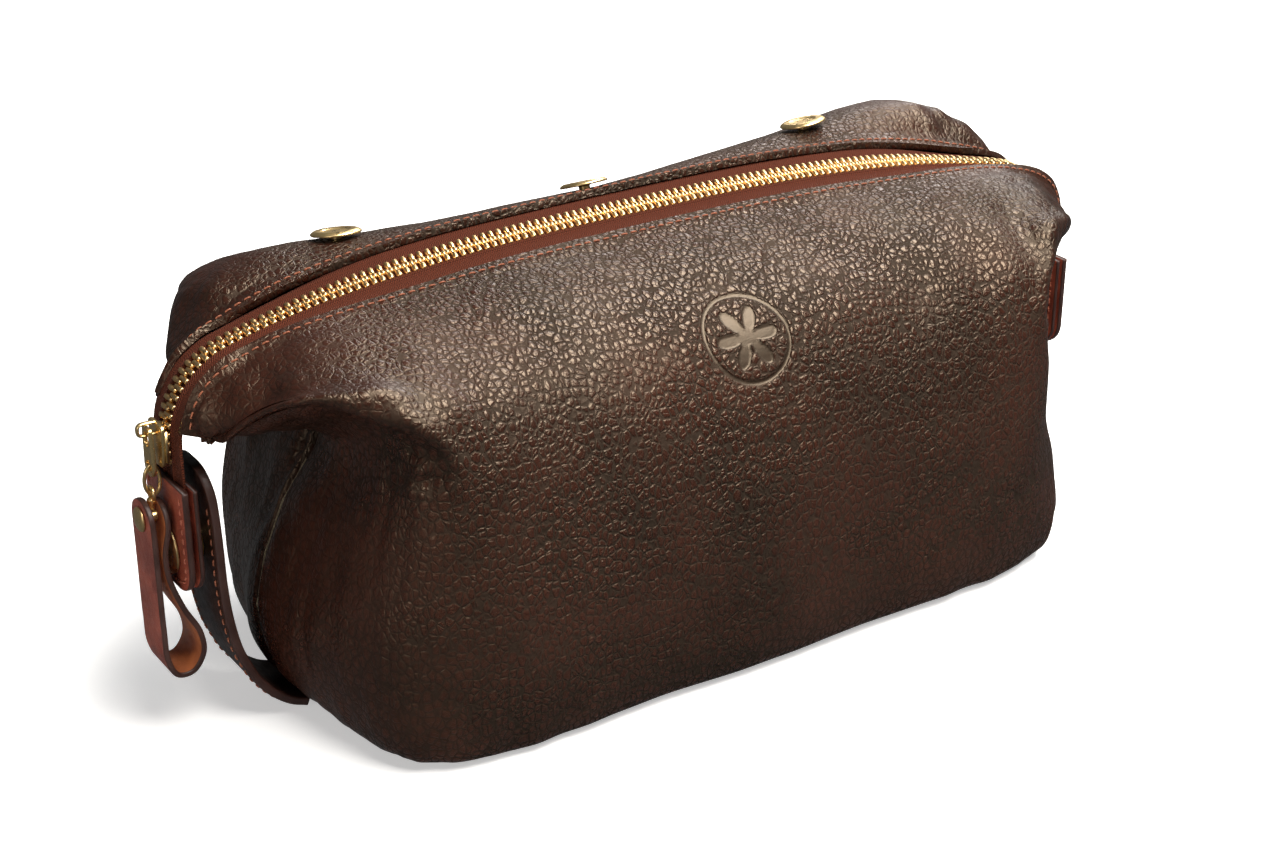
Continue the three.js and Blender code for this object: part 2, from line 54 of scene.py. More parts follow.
TINY = 1e-6                             # metres

# ---------------------------------------------------------------- camera
TARGET = Vector((-6.8, -4.3, 55.6)) * MM
VIEW_AZIMUTH, VIEW_ELEVATION = math.radians(33.6), math.radians(25.1)
VIEW_DISTANCE = 0.666
away = Vector((-math.sin(VIEW_AZIMUTH) * math.cos(VIEW_ELEVATION),
               -math.cos(VIEW_AZIMUTH) * math.cos(VIEW_ELEVATION),
               math.sin(VIEW_ELEVATION)))
camera_data = bpy.data.cameras.new("camera")
camera_data.lens, camera_data.sensor_width = 62.5, 36
camera = bpy.data.objects.new("camera", camera_data)
camera.location = TARGET + away * VIEW_DISTANCE
camera.rotation_euler = (-away).to_track_quat("-Z", "Y").to_euler()
bpy.context.scene.collection.objects.link(camera)
bpy.context.scene.camera = camera

# ---------------------------------------------------------------- dimensions in mm
# As in the CAD, but the leather's edges lie a little lower and further from the chain, to show more tape.
LEATHER = 2.0
ZIP_Y = 2.5                             # depth of the plane that the chain lies in
TIP_X, RIGHT_REACH = 151.6, 5.0         # hanging zip end; the right one hangs further out by RIGHT_REACH
BEND_R, BEND_Z = 24.0, 86.5             # the chain's bend at each end
BEND_X = TIP_X - BEND_R
BEND_TOP = math.radians(106)            # where on the bend the ridge begins
CHAIN_END_Z = 77.8
RIDGE_TILT, TILT_RUN = math.radians(18), 60.0   # the ridge leans towards the front, easing off at its ends
TAPE = 0.7
TAPE_RIDGE, TAPE_BEND = 11.9, 8.8       # chain centre to tape edge, along the ridge and round the bends
EDGE_FRONT, EDGE_BACK = 10.4, 9.2       # chain centre to leather edge
EDGE_LIFT, EDGE_LIFT_TIP = 2.6, 1.3     # leather surface above the tape, along the ridge and at the tips
RIDGE_X = BEND_X - BEND_R * math.cos(BEND_TOP)
RIDGE_Z = BEND_Z + BEND_R * math.sin(BEND_TOP)
RIDGE_DROP = math.tan(BEND_TOP - math.pi / 2) * RIDGE_X / 3
BEND_LENGTH = BEND_R * (math.pi - BEND_TOP)
ZIP_HALF = RIDGE_X + BEND_LENGTH + BEND_Z - CHAIN_END_Z
LEATHER_END = {-1: ZIP_HALF - 14.5, 1: ZIP_HALF - 19}
SNAP_Z = 55.6
TAB_WIDE, TAB_TOP, TAB_BOTTOM, TAB_CORNER = 26.0, 76.4, 45.0, 8.0
STRAP_WIDE, STRAP_THICK, STRAP_FACE = 25.0, 2.6, 146.1
PULLER_X = 157.0
RIVET_AT = (-158.3, ZIP_Y, 66.0)


def smoothstep(x, low, high):
    t = np.clip((np.asarray(x, float) - low) / (high - low), 0, 1)
    return t * t * (3 - 2 * t)


def unit(v):
    return v / np.maximum(np.linalg.norm(v, axis=-1, keepdims=True), 1e-9)


def bell(x, middle, spread):
    return np.exp(-((x - middle) / spread) ** 2)


def waves(points, length, seed, stretch=(1, 1, 1), count=28):
    """Smooth random field of about -1 to 1: a sum of plane waves, each about length mm long."""
    rng = np.random.default_rng(seed)
    way = unit(rng.normal(size=(count, 3))) * rng.uniform(0.7, 1.4, (count, 1)) * 2 * math.pi / length
    phase = rng.uniform(0, 2 * math.pi, count)
    total = np.zeros(points.shape[:-1])
    scaled = points / np.asarray(stretch, float)
    for k in range(count):
        total += np.sin(scaled @ way[k] + phase[k])
    return total / math.sqrt(count)


# ---------------------------------------------------------------- mesh making
def run_length(line):
    """Distance along a polyline at each of its points."""
    return np.concatenate([[0], np.cumsum(np.linalg.norm(np.diff(line, axis=0), axis=1))])


def cleaned(mesh, weld=0.0):
    """Turns the faces outward; with weld, first merges points nearer than that many metres."""
    work = bmesh.new()
    work.from_mesh(mesh)
    if weld:
        bmesh.ops.remove_doubles(work, verts=work.verts, dist=weld)
        bmesh.ops.dissolve_degenerate(work, edges=work.edges, dist=TINY)
    bmesh.ops.recalc_face_normals(work, faces=work.faces)
    work.to_mesh(mesh)
    work.free()


def new_object(name, mesh):
    mesh.polygons.foreach_set("use_smooth", [True] * len(mesh.polygons))
    obj = bpy.data.objects.new(name, mesh)
    bpy.context.scene.collection.objects.link(obj)
    return obj


def mesh_object(name, points, faces, materials, uvs=None, slots=None, weld=0.0):
    """points in mm; uvs one pair per point; slots one material index per face."""
    mesh = bpy.data.meshes.new(name)
    mesh.from_pydata((np.asarray(points, float) * MM).tolist(), [], [list(map(int, f)) for f in faces])
    for material in materials:
        mesh.materials.append(material)
    if slots is not None:
        mesh.polygons.foreach_set("material_index", np.asarray(slots, np.int32))
    if uvs is not None:
        layer = mesh.uv_layers.new(name="UVMap")
        corner = np.zeros(len(mesh.loops), np.int32)
        mesh.loops.foreach_get("vertex_index", corner)
        layer.data.foreach_set("uv", np.asarray(uvs, np.float32)[corner].ravel())
    cleaned(mesh, weld)
    return new_object(name, mesh)


def apply_modifiers(obj):
    bpy.context.view_layer.update()
    evaluated = obj.evaluated_get(bpy.context.evaluated_depsgraph_get())
    mesh = bpy.data.meshes.new_from_object(evaluated)
    obj.modifiers.clear()
    obj.data = mesh


def grid_faces(rows, columns, first=0, closed=False):
    faces = []
    for r in range(rows - 1):
        for c in range(columns if closed else columns - 1):
            a, b = first + r * columns + c, first + r * columns + (c + 1) % columns
            faces.append((a, b, b + columns, a + columns))
    return faces


def tube_faces(rings, sides, first=0):
    """Faces of a tube of rings of points, with a face on each end."""
    faces = grid_faces(rings, sides, first, closed=True)
    faces.append(list(range(first, first + sides))[::-1])
    faces.append(list(range(first + (rings - 1) * sides, first + rings * sides)))
    return faces


def turned(name, profile, origin, direction, material, segments=48):
    """Turned piece; profile is [radius, height] from one end of the axis to the other."""
    turn = Vector((0, 0, 1)).rotation_difference(Vector(direction)).to_matrix()
    points = []
    for radius, height in profile:
        for k in range(segments):
            a = 2 * math.pi * k / segments
            spot = turn @ Vector((radius * math.cos(a), radius * math.sin(a), height))
            points.append(Vector(origin) + spot)
    faces = tube_faces(len(profile), segments)
    return mesh_object(name, [tuple(p) for p in points], faces, [material], weld=TINY)


def rounded_profile(profile, radius=0.25, steps=3):
    """The [radius, height] profile with each inner corner replaced by a short curve."""
    out = [profile[0]]
    points = [np.array(p, float) for p in profile]
    for a, b, c in zip(points, points[1:], points[2:]):
        cut = min(radius, np.linalg.norm(a - b) / 2.1, np.linalg.norm(c - b) / 2.1)
        start, end = b + unit(a - b) * cut, b + unit(c - b) * cut
        for k in range(steps + 1):
            t = k / steps
            out.append(tuple((1 - t) ** 2 * start + 2 * t * (1 - t) * b + t * t * end))
    out.append(profile[-1])
    return out


def smooth_path(points, step):
    """Even samples about step mm apart on a centripetal curve through points of any dimension."""
    points = np.array(points, float)
    column = points[:, None, :]
    fine = catmull(column, np.linspace(0, 1, 60 * len(points)))[:, 0]
    gone = run_length(fine)
    count = max(2, int(round(gone[-1] / step)))
    spots = np.linspace(0, gone[-1], count + 1)
    return np.stack([np.interp(spots, gone, fine[:, i]) for i in range(points.shape[1])], 1)


def catmull(rings, t):
    """Centripetal Catmull-Rom curve through rings (k, n, d) at each t from 0 to 1: (len(t), n, d)."""
    last = len(rings) - 1
    spot = np.clip(np.asarray(t, float), 0, 1) * last
    whole = np.minimum(spot.astype(int), last - 1)
    f = (spot - whole)[:, None, None]
    padded = np.concatenate([2 * rings[:1] - rings[1:2], rings, 2 * rings[-1:] - rings[-2:-1]])
    p0, p1, p2, p3 = (padded[whole + k] for k in range(4))
    pairs = ((p0, p1), (p1, p2), (p2, p3))
    gap = [np.sqrt(np.linalg.norm(b - a, axis=-1, keepdims=True)) for a, b in pairs]
    d1 = np.where(gap[1] < 1e-4, 1, gap[1])
    d0 = np.where(gap[0] < 1e-4, d1, gap[0])
    d2 = np.where(gap[2] < 1e-4, d1, gap[2])
    t1 = ((p1 - p0) / d0 - (p2 - p0) / (d0 + d1) + (p2 - p1) / d1) * d1
    t2 = ((p2 - p1) / d1 - (p3 - p1) / (d1 + d2) + (p3 - p2) / d2) * d1
    return p1 + t1 * f + (3 * (p2 - p1) - 2 * t1 - t2) * f ** 2 + (2 * (p1 - p2) + t1 + t2) * f ** 3


def place(obj, body, slot, *nodes):
    """Rides on the body and stands for the CAD nodes, which it hides; the slot is not used."""
    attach(obj, body)
    stand_for(obj, slot, *nodes)


def stand_for(obj, slot, *nodes):
    if nodes:
        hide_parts(*nodes)


# ---------------------------------------------------------------- node helpers
class Graph:
    """A material and short ways to add its nodes."""

    def __init__(self, name, **shader):
        self.material = bpy.data.materials.new(name)
        self.material.use_nodes = True
        self.tree = self.material.node_tree
        self.shader = self.tree.nodes["Principled BSDF"]
        self.finish(**shader)

    def set(self, socket, value):
        if isinstance(value, bpy.types.NodeSocket):
            self.tree.links.new(value, socket)
        else:
            socket.default_value = value

    def add(self, kind, values=None, **settings):
        node = self.tree.nodes.new("ShaderNode" + kind)
        for key, value in settings.items():
            setattr(node, key, value)
        for key, value in (values or {}).items():
            self.set(node.inputs[key], value)
        return node

    def where(self):
        return self.add("TexCoord").outputs["Object"]

    def uv(self):
        return self.add("TexCoord").outputs["UV"]

    def scaled(self, vector, scale):
        return self.add("Mapping", {"Vector": vector, "Scale": scale}).outputs["Vector"]

    def noise(self, vector, scale, detail=3.0, roughness=0.55):
        values = {"Vector": vector, "Scale": scale, "Detail": detail, "Roughness": roughness}
        return self.add("TexNoise", values).outputs["Fac"]

    def cells(self, vector, scale, randomness=1.0, feature="DISTANCE_TO_EDGE"):
        """Distance to the edge of the cell, or with F1 to its middle."""
        values = {"Vector": vector, "Scale": scale, "Randomness": randomness}
        return self.add("TexVoronoi", values, feature=feature).outputs["Distance"]

    def axis(self, vector, name):
        return self.add("SeparateXYZ", {"Vector": vector}).outputs[name]

    def warped(self, vector, scale, amount):
        """The vector pushed about by a noise of that scale."""
        colour = self.add("TexNoise", {"Vector": vector, "Scale": scale, "Detail": 2.0}).outputs["Color"]
        centred = self.add("VectorMath", {0: colour, 1: (0.5, 0.5, 0.5)}, operation="SUBTRACT").outputs[0]
        pushed = self.add("VectorMath", {0: centred, 1: (amount,) * 3}, operation="MULTIPLY").outputs[0]
        return self.add("VectorMath", {0: vector, 1: pushed}, operation="ADD").outputs[0]

    def math(self, operation, a, b=0.0):
        return self.add("Math", {0: a, 1: b}, operation=operation).outputs[0]

    def plus(self, a, b):
        return self.math("ADD", a, b)

    def times(self, a, b):
        return self.math("MULTIPLY", a, b)

    def ramp(self, value, low, high, out_low=0.0, out_high=1.0):
        names = {"Value": value, "From Min": low, "From Max": high, "To Min": out_low, "To Max": out_high}
        return self.add("MapRange", names, interpolation_type="SMOOTHSTEP").outputs["Result"]

    def mix(self, factor, a, b):
        node = self.tree.nodes.new("ShaderNodeMix")
        node.data_type = "RGBA"
        for index, value in ((0, factor), (6, a), (7, b)):
            self.set(node.inputs[index], value)
        return node.outputs[2]

    def blend_value(self, factor, a, b):
        node = self.tree.nodes.new("ShaderNodeMix")
        for index, value in ((0, factor), (2, a), (3, b)):
            self.set(node.inputs[index], value)
        return node.outputs[0]

    def bump(self, height, distance, strength=1.0, over=None):
        values = {"Height": height, "Distance": distance, "Strength": strength}
        if over is not None:
            values["Normal"] = over
        return self.add("Bump", values).outputs["Normal"]

    def finish(self, **links):
        """Sets or links the shader's sockets, named with _ for a space."""
        for key, value in links.items():
            self.set(self.shader.inputs[key.replace("_", " ")], value)
        return self.material


def srgb(red, green, blue):
    """Linear colour from 0 to 255 screen values."""
    parts = [c / 255 for c in (red, green, blue)]
    return tuple(p / 12.92 if p <= 0.04045 else ((p + 0.055) / 1.055) ** 2.4 for p in parts) + (1.0,)


# ---------------------------------------------------------------- materials
MARK_AT = np.array([-1.8, -50.9, 100.3])       # middle of the pressed mark on the front
MARK_ALONG = unit(np.array([1.0, 0.0, 0.0]))
MARK_UP = unit(np.array([0.0, 0.62, 0.78]))
MARK_RING, MARK_RING_HALF = 13.2, 0.75
MARK_PETALS, MARK_CORE, MARK_REACH = 3, 2.6, 7.6
MARK_COLOUR = (34, 26, 19)
PEBBLE, PEBBLE_DEPTH = 0.0022, 0.00038         # metres


def shade(colour, factor):
    return tuple(min(1.0, c * factor) for c in colour[:3]) + (1.0,)


def pebbled_leather(name, dark, light, roughness):
    """Hide of flat-topped cells that shine, parted by dull creases; the cell tops are painted lighter as a
    painted highlight and the creases painted near-black as painted shade; smoother towards the ends.
    """
    g = Graph(name, Specular_IOR_Level=0.6, Specular_Tint=(1.0, 0.79, 0.57, 1.0))
    spot = g.where()
    bent = g.warped(g.warped(spot, 150.0, 0.0026), 520.0, 0.0007)
    stretched = g.scaled(bent, (1.1, 1.0, 0.78))
    middle = g.cells(stretched, 1 / PEBBLE, 0.85, "F1")
    edge = g.cells(stretched, 1 / PEBBLE, 0.85)
    split = g.cells(stretched, 1.7 / PEBBLE, 0.9)
    patch = g.ramp(g.noise(spot, 36.0, 2.0), 0.36, 0.64)
    reach = g.math("ABSOLUTE", g.axis(bent, "X"))
    strong = g.times(g.ramp(reach, 0.085, 0.125, 1.0, 0.4), g.ramp(patch, 0.0, 1.0, 1.0, 0.72))
    dome = g.ramp(middle, 0.05, 0.75, 1.0, 0.0)
    top = g.times(g.ramp(edge, 0.0, 0.2), g.ramp(split, 0.0, 0.1, 0.62, 1.0))
    crease = g.noise(g.scaled(bent, (0.5, 1.0, 1.6)), 380.0, 3.0, 0.55)
    height = g.plus(g.times(g.plus(g.times(top, 0.75), g.times(dome, 0.4)), strong), g.times(crease, 0.28))
    sunk = g.times(g.math("SUBTRACT", 1.0, g.ramp(top, 0.05, 0.85)), strong)
    tone = g.mix(g.ramp(g.noise(spot, 20.0, 3.0), 0.3, 0.7), dark, light)
    # painted highlight: the middle of each pebble is painted lighter than the hide's tone
    tone_with_painted_highlight = g.mix(g.times(dome, 0.5), tone, light)
    # painted shade: the creases between the pebbles are painted near-black
    colour = g.mix(g.times(sunk, 0.85), tone_with_painted_highlight, shade(dark, 0.3))
    rough = g.plus(g.ramp(sunk, 0.0, 1.0, roughness, 0.85), g.times(patch, 0.05))
    # the pressed mark is smooth and darker
    inside = mark_nodes(g, spot)
    height = g.blend_value(inside, height, g.times(crease, 0.25))
    colour = g.mix(g.times(inside, 0.8), colour, srgb(*MARK_COLOUR))
    rough = g.blend_value(inside, rough, roughness + 0.14)
    pores = g.bump(g.noise(spot, 2600.0, 2.0), 0.00005, 0.5)
    return g.finish(Base_Color=colour, Roughness=rough, Normal=g.bump(height, PEBBLE_DEPTH, 1.0, pores))


def mark_nodes(g, spot):
    """1 inside the pressed mark, a ring round a plain six-petal rosette."""
    offset = g.add("VectorMath", {0: spot, 1: tuple(MARK_AT * MM)}, operation="SUBTRACT").outputs[0]
    along = g.add("VectorMath", {0: offset, 1: tuple(MARK_ALONG)}, operation="DOT_PRODUCT").outputs["Value"]
    up = g.add("VectorMath", {0: offset, 1: tuple(MARK_UP)}, operation="DOT_PRODUCT").outputs["Value"]
    radius = g.math("SQRT", g.plus(g.math("POWER", along, 2.0), g.math("POWER", up, 2.0)))
    angle = g.math("ARCTAN2", up, along)
    petal = g.math("ABSOLUTE", g.math("COSINE", g.times(angle, float(MARK_PETALS))))
    limit = g.plus(g.times(petal, MARK_REACH * MM), MARK_CORE * MM)
    flower = g.ramp(g.math("SUBTRACT", limit, radius), -0.0002, 0.0004)
    ring_gap = g.math("ABSOLUTE", g.math("SUBTRACT", radius, MARK_RING * MM))
    ring = g.ramp(g.math("SUBTRACT", MARK_RING_HALF * MM, ring_gap), -0.0002, 0.0003)
    front = g.math("LESS_THAN", g.axis(spot, "Y"), -0.02)
    return g.times(g.math("MAXIMUM", flower, ring), front)


def smooth_leather(name, dark, light, roughness):
    """Smooth hide with fine pores, as on the tabs, pull and straps."""
    g = Graph(name, Specular_IOR_Level=0.5)
    spot = g.uv()
    tone = g.ramp(g.noise(g.scaled(spot, (1.0, 1.0, 0.6)), 90.0, 4.0), 0.3, 0.7)
    pores = g.cells(g.warped(spot, 500.0, 0.0008), 1500.0)
    colour = g.mix(tone, dark, light)
    height = g.plus(g.times(g.ramp(pores, 0.0, 0.3), 0.3), g.noise(spot, 420.0, 4.0))
    rough = g.ramp(g.noise(spot, 300.0, 3.0), 0.3, 0.7, roughness - 0.05, roughness + 0.08)
    return g.finish(Base_Color=colour, Roughness=rough, Normal=g.bump(height, 0.00014, 0.8))


def edge_paint(name, colour):
    g = Graph(name)
    streak = g.noise(g.scaled(g.uv(), (1.0, 0.12, 1.0)), 900.0, 3.0)
    tint = g.mix(g.ramp(streak, 0.3, 0.7), colour, shade(colour, 1.8))
    return g.finish(Base_Color=tint, Roughness=g.ramp(streak, 0.3, 0.7, 0.38, 0.6),
                    Normal=g.bump(streak, 0.00012, 0.7))


def brass_material(name, colour, roughness):
    g = Graph(name, Metallic=1.0)
    haze = g.noise(g.where(), 420.0, 3.0)
    scratch = g.noise(g.scaled(g.where(), (9.0, 1.0, 1.0)), 700.0, 2.0)
    tint = g.mix(g.ramp(haze, 0.35, 0.75), colour, shade(colour, 0.72))
    rough = g.ramp(g.plus(haze, g.times(scratch, 0.5)), 0.4, 1.1,
                   roughness - 0.05, roughness + 0.16)
    return g.finish(Base_Color=tint, Roughness=rough, Normal=g.bump(scratch, 0.00002, 0.4))


CHEVRON, RIB, YARN = 2.4, 0.75, 0.4      # mm, of the woven tape


def herringbone_material(name, dark, light):
    """Woven tape; UV is millimetres across and along the tape, divided by 10."""
    g = Graph(name, Specular_IOR_Level=0.2)
    across_mm, along_mm = (g.times(g.axis(g.uv(), name), 10.0) for name in ("X", "Y"))
    across = g.math("DIVIDE", across_mm, CHEVRON)
    zigzag = g.math("ABSOLUTE", g.math("SUBTRACT", g.math("FRACT", across), 0.5))
    rib = g.plus(g.math("DIVIDE", along_mm, RIB), g.times(zigzag, 3.2))
    twill = g.math("SINE", g.times(rib, 2 * math.pi))
    yarn = g.math("SINE", g.times(across_mm, 2 * math.pi / YARN))
    height = g.plus(g.times(twill, 0.5), g.times(yarn, 0.25))
    fuzz = g.noise(g.where(), 1800.0, 3.0)
    tone = g.plus(g.ramp(height, -0.7, 0.7, 0.0, 0.8), g.times(fuzz, 0.35))
    return g.finish(Base_Color=g.mix(tone, dark, light), Roughness=0.82,
                    Normal=g.bump(g.plus(height, fuzz), 0.00022, 0.9))


def thread_material(name, colour):
    g = Graph(name)
    twist = g.math("SINE", g.times(g.axis(g.uv(), "Y"), 60.0))
    fuzz = g.noise(g.where(), 2500.0, 2.0)
    tint = g.mix(fuzz, shade(colour, 0.6), colour)
    return g.finish(Base_Color=tint, Roughness=0.7, Normal=g.bump(twist, 0.00008, 0.6))


def cloth_material(name, dark, light):
    g = Graph(name)
    spot = g.where()
    weave = [g.add("TexWave", {"Vector": spot, "Scale": 380.0, "Distortion": 0.4},
                   bands_direction=way).outputs["Fac"] for way in ("X", "Z")]
    height = g.math("MAXIMUM", weave[0], weave[1])
    tint = g.mix(g.times(height, g.noise(spot, 60.0)), dark, light)
    return g.finish(Base_Color=tint, Roughness=0.9, Normal=g.bump(height, 0.0002, 0.6))


hide = pebbled_leather("hide_pebbled", srgb(26, 11, 7), srgb(50, 23, 15), 0.27)
strap_hide = smooth_leather("hide_strap", srgb(32, 18, 14), srgb(50, 30, 22), 0.42)
tan = smooth_leather("tan_smooth", srgb(100, 42, 29), srgb(128, 60, 43), 0.38)
tan_back = smooth_leather("tan_reverse", srgb(120, 62, 30), srgb(160, 92, 48), 0.7)
dark_edge = edge_paint("edge_painted", srgb(44, 22, 16))
thread = thread_material("thread_rust", srgb(142, 78, 48))
thread_tan = thread_material("thread_tan", srgb(150, 78, 52))
tape = herringbone_material("zip_tape_woven", srgb(40, 14, 5), srgb(88, 36, 14))
brass = brass_material("brass_polished", (0.98, 0.72, 0.34, 1.0), 0.27)
teeth_brass = brass_material("brass_teeth", (0.84, 0.57, 0.27, 1.0), 0.28)
lining = cloth_material("lining_cloth", srgb(120, 108, 88), srgb(168, 154, 128))

# ---------------------------------------------------------------- zip path
def zip_point(distance):
    """Centre, across, up and along the chain on the left half, by distance from the middle of the bag."""
    d = np.atleast_1d(np.asarray(distance, float))
    x = np.minimum(d, RIDGE_X)
    past = d - RIDGE_X
    tilt = RIDGE_TILT * smoothstep(RIDGE_X - x, 0, TILT_RUN)
    across = np.stack([0 * d, np.cos(tilt), np.sin(tilt)], -1)
    turn = BEND_TOP + np.clip(past, 0, BEND_LENGTH) / BEND_R
    middle = 0 * d + ZIP_Y
    ridge = np.stack([-x, middle, RIDGE_Z + RIDGE_DROP * (1 - (x / RIDGE_X) ** 3)], -1)
    drop = np.maximum(past - BEND_LENGTH, 0)
    bend = np.stack([-BEND_X + BEND_R * np.cos(turn), middle, BEND_Z + BEND_R * np.sin(turn) - drop], -1)
    point = np.where((past <= 0)[:, None], ridge, bend)
    ridge_slope = np.arctan(3 * RIDGE_DROP * x * x / RIDGE_X ** 3)
    slope = np.where(past <= 0, math.pi + ridge_slope, turn + math.pi / 2)
    along = np.stack([np.cos(slope), 0 * d, np.sin(slope)], -1)
    return point, across, unit(np.cross(across, along)), along


def mirrored(points):
    """Points of the left half on the right half, which reaches further out at its end."""
    out = np.array(points, float)
    out[..., 0] = -out[..., 0] + RIGHT_REACH * smoothstep(-out[..., 0], 115, 148)
    return out


def zip_at(distance, side, above):
    """Point at each distance from the middle (negative is the left half), off to the side and above."""
    d = np.atleast_1d(np.asarray(distance, float))
    point, across, up, _ = zip_point(np.abs(d))
    side, above = (np.broadcast_to(value, d.shape)[:, None] for value in (side, above))
    left = point + across * side + up * above
    return np.where((d > 0)[:, None], mirrored(left), left)


# ---------------------------------------------------------------- leather body
# Rings from the middle through the corner and the wing tip to the end seam, bottom ring first.
# Each is (mid depth, z), (corner x, depth, z), (tip x, depth, z), (seam x, depth, z).
FRONT_RINGS = [
    ((57, 0), (110, 56, 0), (113, 9, 0), (114, 0, 0)),
    ((63, 2.4), (116, 62, 2.4), (119, 9, 2.4), (120, 0, 2.4)),
    ((66, 10), (118, 65, 10), (126, 9, 10), (128, 0, 10)),
    ((68, 34), (117, 68, 34), (131, 9, 32), (134, 0, 32)),
    ((66, 64), (112, 69, 66), (122, 9, 62), (124, 0, 62)),
    ((59, 88), (109, 68, 92), (113, 9, 83), (111, 1, 82)),
    ((50, 101), (118, 60, 109), (144.5, 12, 93), (142, 4, 85)),
    ((30, 114), (121, 34, 116), (146.5, 14, 95), (145.5, 9.5, 90)),
]
BACK_RINGS = FRONT_RINGS[:2] + [
    ((65, 10), (117, 64, 10), (126, 9, 10), (128, 0, 10)),
    ((66, 34), (116, 67, 34), (131, 9, 32), (134, 0, 32)),
    ((66, 66), (111, 69, 68), (121, 9, 62), (124, 0, 62)),
    ((63, 92), (109, 66, 96), (113, 9, 83), (111, 1, 82)),
    ((55, 107), (121, 57, 116), (147, 19, 96), (142, 4, 85)),
    ((34, 119), (120, 35, 125), (148, 19, 97), (146, 13.5, 90)),
]
CORNER_AT, TIP_AT, CORNER_SOFT = 0.5, 0.86, 0.13
MID_AT = 0.34                   # a ring keeps its middle depth and height up to here
BACK_LEAN = 0.055               # the back's top rises towards the right end
RIGHT_WAIST, RIGHT_FOOT = 4.5, 2.5      # the right end is drawn in at the waist and out at the foot
SEAM_OPENS = 0.6                # above this share of the height the front and back part round the zip


def straight_ring(ring, side, t):
    """Points of a ring with hard corners, at each share t from the middle of the bag to the end seam."""
    (mid_depth, mid_z), *others = ring
    flat_end = (others[0][0] * MID_AT / CORNER_AT, mid_depth, mid_z)
    points = np.array([(0, mid_depth, mid_z), flat_end] + others, float) * (-1, side, 1)
    knots = [0, MID_AT, CORNER_AT, TIP_AT, 1]
    return np.stack([np.interp(np.abs(t), knots, points[:, i]) for i in range(3)], -1)


def soft_ring(ring, side, s):
    """The ring with its corners rounded by a running mean."""
    reach = np.minimum(CORNER_SOFT, np.minimum(s, 1 - s))
    return sum(straight_ring(ring, side, s + reach * (k / 4 - 1)) for k in range(9)) / 9


def zip_edge(side, s):
    """The leather's edge along the zip."""
    share = np.where(s < CORNER_AT, 1.4 * s, 0.7 + 0.6 * (s - CORNER_AT))
    lift = EDGE_LIFT + (EDGE_LIFT_TIP - EDGE_LIFT) * smoothstep(s, 0.85, 1)
    return zip_at(-share * LEATHER_END[side], side * (EDGE_FRONT if side < 0 else EDGE_BACK), lift)


def shell(side, u, v):
    """Smooth leather surface: (len(v), len(u), 3). u from -1 to 1 along the bag, v from 0 to 1 up."""
    u, v = np.atleast_1d(np.asarray(u, float)), np.atleast_1d(np.asarray(v, float))
    s = np.abs(u)
    rings = FRONT_RINGS if side < 0 else BACK_RINGS
    column = np.stack([soft_ring(ring, side, s) for ring in rings] + [zip_edge(side, s)])
    left = catmull(column, v)
    out = np.where((u > 0)[None, :, None], mirrored(left), left)
    if side > 0:
        high = (smoothstep(v, 0.55, 0.8) - smoothstep(v, 0.9, 1))[:, None]
        inner = smoothstep(1 - s, 0, 0.3)[None, :]
        out[..., 2] += BACK_LEAN * np.maximum(out[..., 0], 0) * high * inner
    drawn_in = RIGHT_FOOT * bell(out[..., 2], 8, 14) - RIGHT_WAIST * bell(out[..., 2], 48, 20)
    out[..., 0] += (u > 0)[None, :] * smoothstep(out[..., 0], 85, 112) * drawn_in
    return out


def surface_normals(grid, side):
    du, dv = np.gradient(grid, axis=1), np.gradient(grid, axis=0)
    return unit(np.cross(du, dv)) * -side


def mark_depth(points):
    """1 in the pressed mark and 0 off it, with soft borders; the same shape as mark_nodes draws."""
    offset = points - MARK_AT
    along, up = offset @ MARK_ALONG, offset @ MARK_UP
    radius = np.hypot(along, up)
    petal = np.abs(np.cos(MARK_PETALS * np.arctan2(up, along)))
    flower = smoothstep(MARK_CORE + MARK_REACH * petal - radius, -0.4, 0.5)
    ring = smoothstep(MARK_RING_HALF - np.abs(radius - MARK_RING), -0.4, 0.4)
    return np.maximum(flower, ring) * (points[..., 1] < -20)


STITCH_DIP, MARK_DEPTH = 0.55, 0.55


